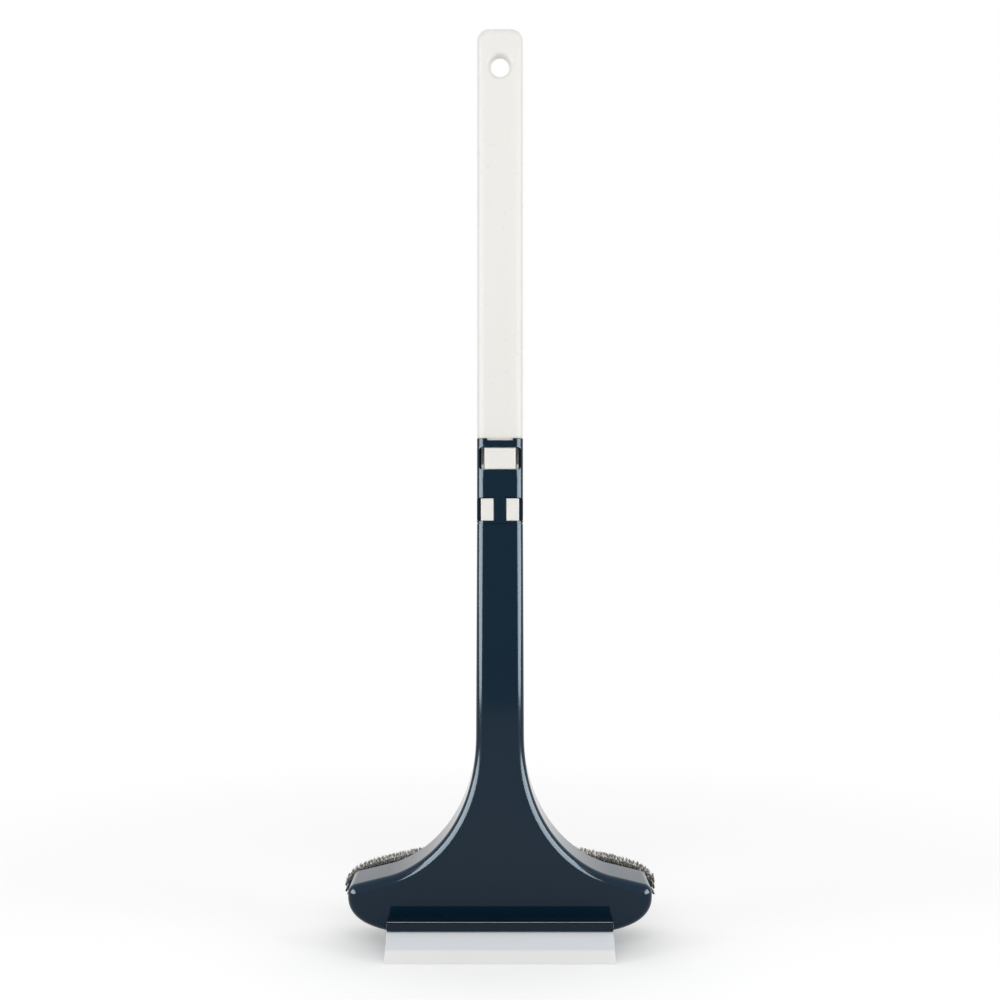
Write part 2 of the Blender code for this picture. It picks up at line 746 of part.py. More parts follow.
def blade_outline():
    """The blade from the side: a bead, a web, a body that leans forward past a crease, and a thin edge."""
    web = WEB_THICKNESS / 2
    lift = math.degrees(math.asin(web / BEAD_RADIUS))
    bead = arc((BLADE_Y, BEAD_Z), BEAD_RADIUS, -90 + lift, 270 - lift, BEAD_STEPS)
    shoulder = CHANNEL_BOTTOM - BLADE_SHOULDER_GAP
    body = BLADE_THICKNESS / 2
    crease_y = BLADE_Y - CREASE_LEAN
    tip_y = crease_y - TIP_LEAN
    return [
        (BLADE_Y - web, shoulder),
        (BLADE_Y - body, shoulder - GAP),
        (crease_y - body, CREASE_Z),
        (tip_y, 0.0),
        (tip_y + TIP_THICKNESS, 0.0),
        (crease_y + body, CREASE_Z),
        (BLADE_Y + body, shoulder - GAP),
        (BLADE_Y + web, shoulder),
    ] + bead


def make_squeegee_blade(workshop):
    """The rubber blade, a little wider at its foot than in the channel."""
    half = BLADE_TOP_WIDTH / 2
    blade = slab("squeegee_blade", blade_outline(), -half, half, "X", workshop)
    place = blade.matrix_world.copy()
    back = place.inverted()
    shoulder = CHANNEL_BOTTOM - BLADE_SHOULDER_GAP
    spread = BLADE_FOOT_WIDTH / BLADE_TOP_WIDTH - 1.0
    for vert in blade.data.vertices:
        point = place @ vert.co
        point.x *= 1.0 + spread * max(0.0, 1.0 - point.z / shoulder)
        vert.co = back @ point
    return blade


# Brush

def make_brush_board(workshop):
    """The plate that carries the pile, pegged into the back cover."""
    board = slab(
        "brush_board", board_outline(), BOARD_FRONT, BOARD_FRONT + BOARD_THICKNESS, "Y", workshop,
    )
    for x, z in mirrored(PEG_PLACES):
        peg = cylinder_profile(PEG_RADIUS, PEG_LENGTH + GAP, BOARD_THICKNESS / 2)
        join(board, turned("peg", peg, (x, BOARD_FRONT, z), (0, 1, 0), workshop, SMALL_TURN_STEPS))
    return board


def tuft_length(x, share):
    """How far a tuft stands out: the brush is crowned, and neighbours differ a little."""
    crown = PILE_CROWN * ((x / PILE_HALF_WIDTH) ** 4 + (2 * share - 1) ** 4) / 2
    ripple = PILE_RIPPLE * math.sin(x * RIPPLE_ACROSS + share * RIPPLE_UP)
    return PILE_LENGTH - crown + ripple - PILE_RIPPLE


def make_pile_block(name, left, right, workshop):
    """A slice of backing with its tufts, each a tapered strand of four sides."""
    columns = max(1, round((right - left) / TUFT_PITCH))
    work = bmesh.new()
    bmesh.ops.create_grid(work, x_segments=columns, y_segments=TUFT_ROWS, size=1.0)
    for vert in work.verts:
        x = left + (right - left) * (vert.co.x + 1.0) / 2
        share = (vert.co.y + 1.0) / 2
        low, high = pile_edge(x)
        vert.co = (x, PILE_FRONT, low + (high - low) * share)
    bmesh.ops.recalc_face_normals(work, faces=work.faces)
    underside = list(work.faces)
    raised = bmesh.ops.extrude_face_region(work, geom=underside, use_keep_orig=True)["geom"]
    top_verts = [item for item in raised if isinstance(item, bmesh.types.BMVert)]
    top_faces = [item for item in raised if isinstance(item, bmesh.types.BMFace)]
    bmesh.ops.translate(work, verts=top_verts, vec=(0.0, PILE_BACKING, 0.0))
    bmesh.ops.dissolve_faces(work, faces=underside, use_verts=False)
    bmesh.ops.recalc_face_normals(work, faces=work.faces)
    bmesh.ops.inset_individual(work, faces=top_faces, thickness=TUFT_GAP)
    tips = bmesh.ops.extrude_discrete_faces(work, faces=top_faces)["faces"]
    for tip in tips:
        middle = tip.calc_center_median()
        low, high = pile_edge(middle.x)
        share = (middle.z - low) / (high - low)
        length = tuft_length(middle.x, share)
        lean = Vector((middle.x * PILE_SPLAY, length, (share - 0.5) * PILE_TOP * PILE_SPLAY))
        for vert in tip.verts:
            vert.co = middle + (vert.co - middle) * TUFT_TIP + lean
    bmesh.ops.recalc_face_normals(work, faces=work.faces)
    mesh = bpy.data.meshes.new(name)
    work.to_mesh(mesh)
    work.free()
    block = bpy.data.objects.new(name, mesh)
    workshop.objects.link(block)
    return block


# Coupling

def make_coupling_sleeve(workshop):
    """The sleeve over both spigots, with a web between them and three windows in front."""
    outer = stem_section(NECK_WIDTH, NECK_DEPTH, EDGE_RADIUS)
    sleeve = slab("coupling_sleeve", outer, SLEEVE_BOTTOM, SLEEVE_TOP, "Z", workshop)
    inner = inset(outer, SHELL_WALL)
    web_bottom = SLEEVE_BOTTOM + SLEEVE_WEB_HEIGHT
    cut(
        sleeve,
        slab("lower_socket", inner, SLEEVE_BOTTOM - CUT_MARGIN, web_bottom, "Z", workshop),
        slab("upper_socket", inner, web_bottom + SLEEVE_WEB, SLEEVE_TOP + CUT_MARGIN, "Z", workshop),
    )
    front = STEM_FRONT - CUT_MARGIN
    back = STEM_FRONT + WINDOW_CUT_DEPTH
    half = BUTTON_WINDOW_WIDTH / 2
    button_window = rounded_box(
        (-half, SLEEVE_BOTTOM + BUTTON_WINDOW_BOTTOM), (half, SLEEVE_BOTTOM + BUTTON_WINDOW_TOP),
        WINDOW_CORNER, WINDOW_STEPS,
    )
    cut(sleeve, slab("button_window", button_window, front, back, "Y", workshop))
    for side in (-1, 1):
        outer = NECK_WIDTH / 2 + WINDOW_OVERRUN
        spans = sorted((side * (BAR_WIDTH / 2 - WINDOW_CORNER), side * outer))
        pad_window = rounded_box(
            (spans[0], SLEEVE_BOTTOM + PAD_WINDOW_BOTTOM), (spans[1], SLEEVE_BOTTOM + PAD_WINDOW_TOP),
            WINDOW_CORNER, WINDOW_STEPS,
        )
        window = slab("pad_window", pad_window, front, back, "Y", workshop)
        bar = BAR_WIDTH / 2
        bar_back = back + CUT_MARGIN
        cut(window, box("bar", (-bar, front - CUT_MARGIN, 0.0), (bar, bar_back, SLEEVE_TOP), workshop))
        cut(sleeve, window)
    key = KEY_WIDTH / 2 + GAP
    cut(sleeve, box(
        "key_notch", (-key, STEM_FRONT - CUT_MARGIN, SLEEVE_TOP - KEY_DROP),
        (key, STEM_Y, SLEEVE_TOP + CUT_MARGIN), workshop,
    ))
    return sleeve


# Handle

def make_handle_tube(workshop):
    """The long hollow handle with its round top, hanging hole and lower key."""
    half = HANDLE_WIDTH / 2
    front = STEM_Y - HANDLE_DEPTH / 2
    back = STEM_Y + HANDLE_DEPTH / 2
    side = HANDLE_TOP - HANDLE_TOP_CORNER
    outline = (
        [(-half, HANDLE_BOTTOM), (half, HANDLE_BOTTOM)]
        + arc((half - HANDLE_TOP_CORNER, side), HANDLE_TOP_CORNER, 0, 90, 5)
        + arc((-half + HANDLE_TOP_CORNER, side), HANDLE_TOP_CORNER, 90, 180, 5)
    )
    tube = slab("handle_tube", outline, front, back, "Y", workshop)
    round_edges(
        tube, lambda p: at_depth(front)(p) or at_depth(back)(p), HANDLE_EDGE, ROUND_STEPS + 1, HANDLE_BOTTOM,
    )
    bore_width = HANDLE_WIDTH - 2 * HANDLE_WALL
    bore = stem_section(bore_width, HANDLE_DEPTH - 2 * HANDLE_WALL, HANDLE_EDGE - HANDLE_WALL)
    cut(tube, slab("bore", bore, HANDLE_BOTTOM - CUT_MARGIN, HANDLE_BORE_TOP, "Z", workshop))
    cut(tube, hanging_hole(workshop))
    key = KEY_WIDTH / 2
    join(tube, box(
        "key", (-key, front + GAP, HANDLE_BOTTOM - KEY_DROP), (key, front + HANDLE_WALL, HANDLE_BOTTOM + GAP),
        workshop,
    ))
    return tube


def hole_centre():
    """The middle of the hanging hole."""
    return (0.0, STEM_Y, HANDLE_TOP - HOLE_BELOW_TOP)


def flare_arc(waist, depth, start_deg, end_deg):
    """A quarter of the hole's wall, from a face of the handle in to the waist or back out."""
    mouth = HOLE_WAIST_RADIUS + HOLE_FLARE
    quarter = arc((0.0, 0.0), 1.0, start_deg, end_deg, HOLE_STEPS)
    return [(mouth + HOLE_FLARE * u, waist + depth * v) for u, v in quarter]


def hanging_hole(workshop):
    """The hanging hole's space, a little taller than wide, with a waist that flares to both faces."""
    half = HANDLE_DEPTH / 2
    mouth = HOLE_WAIST_RADIUS + HOLE_FLARE
    waist = HOLE_WAIST_DEPTH - half
    profile = (
        [(0.0, half + CUT_MARGIN), (mouth, half + CUT_MARGIN)]
        + flare_arc(waist, half - waist, 90, 180)
        + flare_arc(waist, waist + half, 180, 270)
        + [(mouth, -half - CUT_MARGIN), (0.0, -half - CUT_MARGIN)]
    )
    profile = without_doubles(profile)
    hole = turned("hanging_hole", profile, hole_centre(), (0, 1, 0), workshop, HOLE_TURN_STEPS)
    bpy.context.view_layer.update()
    place = hole.matrix_world.copy()
    back = place.inverted()
    middle = hole_centre()[2]
    for vert in hole.data.vertices:
        point = place @ vert.co
        point.z = middle + (point.z - middle) * HOLE_STRETCH
        vert.co = back @ point
    return hole


def make_handle_plug(workshop):
    """The spigot at the handle's lower end, with a slot for the button's tongue."""
    foot = SLEEVE_BOTTOM + SLEEVE_WEB_HEIGHT + SLEEVE_WEB + GAP
    width = NECK_WIDTH - 2 * SHELL_WALL - 2 * GAP
    depth = NECK_DEPTH - 2 * SHELL_WALL - 2 * GAP
    collar = SLEEVE_TOP - KEY_DROP - GAP
    plug = slab("handle_plug", stem_section(width, depth, SPIGOT_CORNER), foot, collar, "Z", workshop)
    upper_width = HANDLE_WIDTH - 2 * HANDLE_WALL - 2 * GAP
    upper_depth = HANDLE_DEPTH - 2 * HANDLE_WALL - 2 * GAP
    ceiling = HANDLE_BOTTOM + PLUG_RISE
    upper = stem_section(upper_width, upper_depth, SPIGOT_CORNER - GAP)
    join(plug, slab("plug_top", upper, collar - CUT_MARGIN, ceiling, "Z", workshop))
    front = STEM_FRONT - CUT_MARGIN
    back = STEM_Y + upper_depth / 2 - SPIGOT_BACK_WALL
    half = BUTTON_WIDTH / 2 + BUTTON_POCKET_GAP
    window_bottom = SLEEVE_BOTTOM + BUTTON_WINDOW_BOTTOM
    window_top = SLEEVE_BOTTOM + BUTTON_WINDOW_TOP
    slot_top = ceiling - PLUG_CEILING
    cut(
        plug,
        box("tongue_slot", (-half, front, window_bottom - GAP), (half, back, slot_top), workshop),
        box(
            "side_pocket", (-width, front, window_bottom + LEDGE_HEIGHT),
            (width, SOCKET_FRONT + BUTTON_POCKET_DEPTH, window_top), workshop,
        ),
        box("core", (-half, STEM_Y, foot - CUT_MARGIN), (half, back, window_bottom), workshop),
    )
    return plug


def tongue_span():
    """The button tongue's lowest and highest point."""
    return SLEEVE_BOTTOM + BUTTON_WINDOW_BOTTOM + GAP, HANDLE_BOTTOM + PLUG_RISE - PLUG_CEILING - GAP


def tongue_web_front():
    """The front face of the tongue behind the button."""
    return SOCKET_FRONT + BUTTON_WEB_BEHIND


def make_handle_button(workshop):
    """The press button on its springy tongue."""
    low, high = tongue_span()
    front = STEM_FRONT + PAD_PROUD
    web = tongue_web_front()
    stem = BUTTON_STEM_WIDTH / 2
    half = BUTTON_WIDTH / 2
    tongue = box("handle_button", (-stem, web, low), (stem, web + LATCH_WEB_THICKNESS, high), workshop)
    top = SLEEVE_BOTTOM + BUTTON_WINDOW_TOP - GAP
    button = box("button", (-half, front, low), (half, web + GAP, top), workshop)
    round_edges(button, at_depth(front), LATCH_EDGE, 2)
    join(tongue, button)
    return tongue


def tongue_pivot():
    """Where the button's tongue flexes."""
    return (0.0, tongue_web_front() + LATCH_WEB_THICKNESS / 2, tongue_span()[1] - BUTTON_PIVOT_DROP)


def main():
    """Builds every piece, in the order in which the brush goes together."""
    clear_scene()
    parts = make_collection("window_screen_brush")
    workshop = make_collection("workshop")
    navy = (0.018, 0.036, 0.055)
    white = (0.83, 0.83, 0.80)

    finish(make_head_shell(workshop), make_material("navy_head", navy, 0.22), parts)
    finish(make_back_cover(workshop), make_material("navy_cover", navy, 0.35), parts)
    finish(make_neck_spigot(workshop), make_material("navy_spigot", navy, 0.35), parts)
    finish(make_neck_clip(workshop), make_material("white_clip", white, 0.3), parts, clip_pivot())
    finish(make_blade_channel(workshop), make_material("navy_channel", navy, 0.2), parts)
    blade = make_material("blade_rubber", (0.62, 0.65, 0.67), 0.35)
    finish(make_squeegee_blade(workshop), blade, parts, (0.0, BLADE_Y, BEAD_Z))
    finish(make_brush_board(workshop), make_material("black_board", (0.02, 0.025, 0.03), 0.6), parts)

    edges = (-PILE_HALF_WIDTH, *PILE_SLITS, PILE_HALF_WIDTH)
    for number, (left, right) in enumerate(zip(edges, edges[1:]), start=1):
        name = f"pile_{number}"
        shape = make_pile_block(name, left + GAP / 2, right - GAP / 2, workshop)
        finish(shape, make_material(f"taupe_{name}", (0.42, 0.38, 0.32), 0.9), parts)

    cover_seat = HEAD_BACK - COVER_LEDGE - SCREW_HEAD_HEIGHT
    for number, (x, z) in enumerate(mirrored(COVER_SCREWS), start=1):
        name = f"cover_screw_{number}"
        shape = make_screw(name, (x, cover_seat, z), (0, 1, 0), SCREW_LENGTH, workshop)
        finish(shape, make_material(f"steel_{name}", (0.6, 0.6, 0.6), 0.3, 1.0), parts)
    for number, x in enumerate((-CHANNEL_SCREW_X, CHANNEL_SCREW_X), start=1):
        name = f"channel_screw_{number}"
        seat = (x, SOCKET_FRONT + THREAD_GAP, CHANNEL_SCREW_Z)
        shape = make_screw(name, seat, (0, 1, 0), CHANNEL_SCREW_LENGTH, workshop)
        finish(shape, make_material(f"steel_{name}", (0.6, 0.6, 0.6), 0.3, 1.0), parts)

    finish(make_coupling_sleeve(workshop), make_material("navy_coupling", navy, 0.2), parts)
    finish(make_handle_tube(workshop), make_material("white_handle", white, 0.3), parts)
    finish(make_handle_plug(workshop), make_material("white_plug", white, 0.35), parts)
    finish(make_handle_button(workshop), make_material("white_button", white, 0.3), parts, tongue_pivot())


main()
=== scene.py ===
"""Looks of the window screen brush: navy head, white handle, rubber blade and cut pile."""

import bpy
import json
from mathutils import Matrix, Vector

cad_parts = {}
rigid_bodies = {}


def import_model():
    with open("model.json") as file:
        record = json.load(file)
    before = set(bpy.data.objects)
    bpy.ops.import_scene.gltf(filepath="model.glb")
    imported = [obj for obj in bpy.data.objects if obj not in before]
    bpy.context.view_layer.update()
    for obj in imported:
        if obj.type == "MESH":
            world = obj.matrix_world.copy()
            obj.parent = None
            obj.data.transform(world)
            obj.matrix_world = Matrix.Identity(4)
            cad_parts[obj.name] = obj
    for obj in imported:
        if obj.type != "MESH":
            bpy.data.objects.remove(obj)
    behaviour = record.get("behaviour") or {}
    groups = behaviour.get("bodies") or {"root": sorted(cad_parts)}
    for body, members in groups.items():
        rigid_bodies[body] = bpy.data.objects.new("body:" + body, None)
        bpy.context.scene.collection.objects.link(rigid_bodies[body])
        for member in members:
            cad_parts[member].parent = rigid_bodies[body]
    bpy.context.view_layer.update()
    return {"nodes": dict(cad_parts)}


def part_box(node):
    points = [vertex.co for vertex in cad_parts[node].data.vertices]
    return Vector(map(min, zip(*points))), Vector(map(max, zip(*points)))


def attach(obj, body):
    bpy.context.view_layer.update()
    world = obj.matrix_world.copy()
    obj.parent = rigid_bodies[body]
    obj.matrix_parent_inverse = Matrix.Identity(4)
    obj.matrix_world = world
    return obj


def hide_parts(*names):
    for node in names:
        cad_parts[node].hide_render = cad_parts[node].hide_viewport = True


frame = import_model()

import json
import logging
import math
import random
from dataclasses import dataclass
from enum import Enum
from typing import Callable, Iterable, Sequence

import bmesh
import bpy
from bpy.types import Collection, Material, Node, NodeSocket, NodeTree, Object
from mathutils import Vector

log = logging.getLogger("window_screen_brush")

MM = 0.001
TOUCH = 1e-6  # metres within which two places count as one
MERGE = 1e-7  # metres within which doubles are merged
SHARP = math.radians(40)  # edges from this angle on may be rounded
RIM = math.radians(50)  # edges from this angle on belong to the shell's front rim
SMOOTH = math.radians(25)  # faces up to this angle are shaded as one surface
MIX_FACTOR, MIX_A, MIX_B, MIX_RESULT = 0, 6, 7, 2  # a colour Mix node's sockets, by number
WHITE_LIGHT = (1.0, 1.0, 1.0, 1.0)
Point = tuple[float, float]
Place = tuple[float, float, float]


class FinishName(Enum):
    """The finishes that lamps of their own pick out."""

    NAVY = "navy_gloss_abs"
    # Painted shade: the channel's copy of the navy plastic, coloured darker than the shell.
    SHADED_CHANNEL = "navy_gloss_abs_painted_shade"
    WHITE = "white_semi_gloss_abs"


class Facing(Enum):
    """The axis that a flat outline is extruded along."""

    ACROSS = "x"
    DEEP = "y"
    UP = "z"


def arc(centre: Point, radius: float, start: float, end: float, steps: int) -> list[Point]:
    """Points along a circular arc.

    Args:
        centre: middle of the circle.
        radius: its radius.
        start: first angle, in degrees.
        end: last angle, in degrees.
        steps: number of chords.

    Returns:
        The points, both ends included.
    """
    points = []
    for step in range(steps + 1):
        angle = math.radians(start + (end - start) * step / steps)
        points.append((centre[0] + radius * math.cos(angle), centre[1] + radius * math.sin(angle)))
    return points


def bezier(start: Point, first: Point, second: Point, end: Point, steps: int) -> list[Point]:
    """Points along a cubic curve.

    Args:
        start: first end.
        first: handle of the first end.
        second: handle of the second end.
        end: second end.
        steps: number of chords.

    Returns:
        The points, both ends included.
    """
    points = []
    for step in range(steps + 1):
        t = step / steps
        s = 1.0 - t
        weights = (s ** 3, 3 * s * s * t, 3 * s * t * t, t ** 3)
        corners = (start, first, second, end)
        points.append(tuple(sum(w * c[i] for w, c in zip(weights, corners)) for i in (0, 1)))
    return points


def distinct(points: Iterable[Point]) -> list[Point]:
    """Leaves out each point of a closed outline that repeats the one before it.

    Args:
        points: the outline.

    Returns:
        The outline without doubles.
    """
    kept: list[Point] = []
    for point in points:
        if not kept or math.dist(point, kept[-1]) > MERGE:
            kept.append(point)
    if math.dist(kept[0], kept[-1]) < MERGE:
        kept.pop()
    return kept


def rounded(low: Point, high: Point, radius: float, steps: int = 8) -> list[Point]:
    """A rectangle with round corners.

    Args:
        low: lowest corner.
        high: highest corner.
        radius: radius of all four corners.
        steps: chords in each corner.

    Returns:
        The outline, anticlockwise.
    """
    centres = (
        (high[0] - radius, high[1] - radius),
        (low[0] + radius, high[1] - radius),
        (low[0] + radius, low[1] + radius),
        (high[0] - radius, low[1] + radius),
    )
    points: list[Point] = []
    for quarter, centre in enumerate(centres):
        points += arc(centre, radius, 90.0 * quarter, 90.0 * quarter + 90.0, steps)
    return distinct(points)


def drawn_in(points: Sequence[Point], distance: float) -> list[Point]:
    """Moves each side of an anticlockwise outline inwards.

    Args:
        points: the outline.
        distance: how far each side moves.

    Returns:
        The smaller outline, with as many points.
    """
    moved = []
    for i, here in enumerate(points):
        corner = Vector(here)
        first = (corner - Vector(points[i - 1])).normalized()
        second = (Vector(points[(i + 1) % len(points)]) - corner).normalized()
        normal_a = Vector((-first.y, first.x))
        normal_b = Vector((-second.y, second.x))
        mitre = (normal_a + normal_b) / (1.0 + normal_a.dot(normal_b))
        moved.append(tuple(corner + mitre * distance))
    return moved


def placed(name: str, bm: bmesh.types.BMesh) -> Object:
    """Hands a mesh in the making over to a new object at the origin.

    Args:
        name: name of the object and of its mesh.
        bm: the mesh in the making, which is freed.

    Returns:
        The object, linked to the scene.
    """
    mesh = bpy.data.meshes.new(name)
    bm.to_mesh(mesh)
    bm.free()
    shape = bpy.data.objects.new(name, mesh)
    bpy.context.scene.collection.objects.link(shape)
    return shape


class Solid:
    """A closed mesh in the making, with the few workshop moves that these mouldings need."""

    def __init__(self, name: str) -> None:
        """Starts an empty solid under a name."""
        self.name = name
        self.bm = bmesh.new()

    @classmethod
    def prism(cls, name: str, outline: Sequence[Point], low: float, high: float,
              facing: Facing) -> "Solid":
        """Extrudes a flat outline.

        Args:
            name: name of the solid.
            outline: anticlockwise outline, in the two axes that the extrusion leaves free.
            low: where the extrusion starts.
            high: where it ends.
            facing: axis of the extrusion.

        Returns:
            The closed prism.
        """
        solid = cls(name)
        axis = "xyz".index(facing.value)
        verts = []
        for u, v in outline:
            co = [u, v]
            co.insert(axis, low)
            verts.append(solid.bm.verts.new(co))
        base = solid.bm.faces.new(verts)
        raised = bmesh.ops.extrude_face_region(solid.bm, geom=[base], use_keep_orig=True)["geom"]
        shift = Vector((0.0, 0.0, 0.0))
        shift[axis] = high - low
        moved = [item for item in raised if isinstance(item, bmesh.types.BMVert)]
        bmesh.ops.translate(solid.bm, verts=moved, vec=shift)
        bmesh.ops.recalc_face_normals(solid.bm, faces=solid.bm.faces)
        return solid

    @classmethod
    def block(cls, name: str, low: Sequence[float], high: Sequence[float]) -> "Solid":
        """A rectangular block.

        Args:
            name: name of the solid.
            low: its lowest corner.
            high: its highest corner.

        Returns:
            The block.
        """
        solid = cls(name)
        bmesh.ops.create_cube(solid.bm, size=1.0)
        size = Vector(high) - Vector(low)
        bmesh.ops.scale(solid.bm, vec=size, verts=solid.bm.verts)
        bmesh.ops.translate(solid.bm, vec=(Vector(low) + Vector(high)) / 2, verts=solid.bm.verts)
        return solid

    @classmethod
    def turned(cls, name: str, profile: Sequence[Point], centre: Sequence[float],
               steps: int) -> "Solid":
        """Spins a profile of (radius, height) points about an axis that lies along Y.

        Args:
            name: name of the solid.
            profile: points from one end of the axis to the other.
            centre: origin of the profile's heights.
            steps: number of sides.

        Returns:
            The closed turned solid.
        """
        solid = cls(name)
        verts = [solid.bm.verts.new((radius, height, 0.0)) for radius, height in profile]
        edges = [solid.bm.edges.new(pair) for pair in zip(verts, verts[1:])]
        bmesh.ops.spin(
            solid.bm, geom=verts + edges, cent=(0, 0, 0), axis=(0, 1, 0), angle=2 * math.pi,
            steps=steps, use_merge=True,
        )
        bmesh.ops.remove_doubles(solid.bm, verts=solid.bm.verts, dist=MERGE)
        bmesh.ops.recalc_face_normals(solid.bm, faces=solid.bm.faces)
        bmesh.ops.translate(solid.bm, vec=centre, verts=solid.bm.verts)
        return solid

    def round_edges(self, chosen: Callable[[Vector], bool], width: float, segments: int,
                    square_end: float | None = None) -> "Solid":
        """Rounds the sharp edges whose two ends are both chosen.

        Args:
            chosen: says of a point whether edges that end there may be rounded.
            width: radius of the round.
            segments: faces across the round.
            square_end: height at which level edges stay square.

        Returns:
            The solid itself.
        """
        sharp = []
        for edge in self.bm.edges:
            if square_end is not None and all(at("z", square_end)(vert.co) for vert in edge.verts):
                continue
            if len(edge.link_faces) == 2 and edge.calc_face_angle() > SHARP:
                if all(chosen(vert.co) for vert in edge.verts):
                    sharp.append(edge)
        bmesh.ops.bevel(
            self.bm, geom=sharp, offset=width, segments=segments, affect="EDGES", profile=0.5,
            material=-1, clamp_overlap=True,
        )
        return self

    def modified(self, kind: str, settings: dict) -> "Solid":
        """Applies one modifier to the mesh.

        Args:
            kind: Blender's name for the modifier type.
            settings: its settings by name.

        Returns:
            The solid itself.
        """
        shape = self.as_object()
        modifier = shape.modifiers.new(kind.lower(), kind)
        for name, value in settings.items():
            setattr(modifier, name, value)
        bpy.context.view_layer.update()
        evaluated = shape.evaluated_get(bpy.context.evaluated_depsgraph_get())
        mesh = bpy.data.meshes.new_from_object(evaluated)
        old = shape.data
        bpy.data.objects.remove(shape, do_unlink=True)
        bpy.data.meshes.remove(old)
        self.bm = bmesh.new()
        self.bm.from_mesh(mesh)
        bpy.data.meshes.remove(mesh)
        bmesh.ops.remove_doubles(self.bm, verts=self.bm.verts, dist=MERGE)
        bmesh.ops.dissolve_degenerate(self.bm, edges=self.bm.edges, dist=MERGE)
        return self

    def combined(self, tool: "Solid", operation: str) -> "Solid":
        """Combines the solid with a tool by Blender's exact Boolean, and uses the tool up.

        Args:
            tool: the other solid.
            operation: Blender's name for what is done.

        Returns:
            The solid itself.
        """
        other = tool.as_object()
        self.modified("BOOLEAN", {"operation": operation, "object": other, "solver": "EXACT"})
        used = other.data
        bpy.data.objects.remove(other, do_unlink=True)
        bpy.data.meshes.remove(used)
        return self

    def cut(self, *tools: "Solid") -> "Solid":
        """Takes other solids away.

        Args:
            tools: those solids, which are used up.

        Returns:
            The solid itself.
        """
        for tool in tools:
            self.combined(tool, "DIFFERENCE")
        return self

    def join(self, *tools: "Solid") -> "Solid":
        """Fuses other solids on.

        Args:
            tools: those solids, which are used up.

        Returns:
            The solid itself.
        """
        for tool in tools:
            self.combined(tool, "UNION")
        return self

    def as_object(self) -> Object:
        """Hands the mesh over to an object, after which the solid is spent."""
        return placed(self.name, self.bm)


def at(axis: str, value: float) -> Callable[[Vector], bool]:
    """Chooses the points at one place along an axis."""
    index = "xyz".index(axis)
    return lambda co: abs(co[index] - value) < TOUCH


# Finishes

def linear(code: str) -> tuple[float, float, float, float]:
    """Turns an sRGB hex colour into linear RGBA.

    Args:
        code: the colour, as #rrggbb.

    Returns:
        Red, green, blue and an alpha of 1.
    """
    channels = [int(code[i:i + 2], 16) / 255 for i in (1, 3, 5)]
    curve = [c / 12.92 if c <= 0.04045 else ((c + 0.055) / 1.055) ** 2.4 for c in channels]
    return (*curve, 1.0)


def add_node(tree: NodeTree, kind: str, settings: dict | None = None,
             links: dict | None = None) -> Node:
    """Adds a shader node.

    Args:
        tree: node tree that it goes in.
        kind: Blender's name for the node type.
        settings: attributes of the node, or values of its inputs where no attribute has that name.
        links: inputs by name or number, each with the output socket that feeds it.

    Returns:
        The new node.
    """
    node = tree.nodes.new(kind)
    for name, value in (settings or {}).items():
        if isinstance(name, str) and hasattr(node, name):
            setattr(node, name, value)
        else:
            node.inputs[name].default_value = value
    for name, source in (links or {}).items():
        tree.links.new(source, node.inputs[name])
    return node


def new_material(name: str) -> tuple[Material, NodeTree, Node]:
    """Starts a material.

    Args:
        name: its name.

    Returns:
        The material, its tree and its Principled shader.
    """
    material = bpy.data.materials.new(name)
    material.use_nodes = True
    return material, material.node_tree, material.node_tree.nodes["Principled BSDF"]


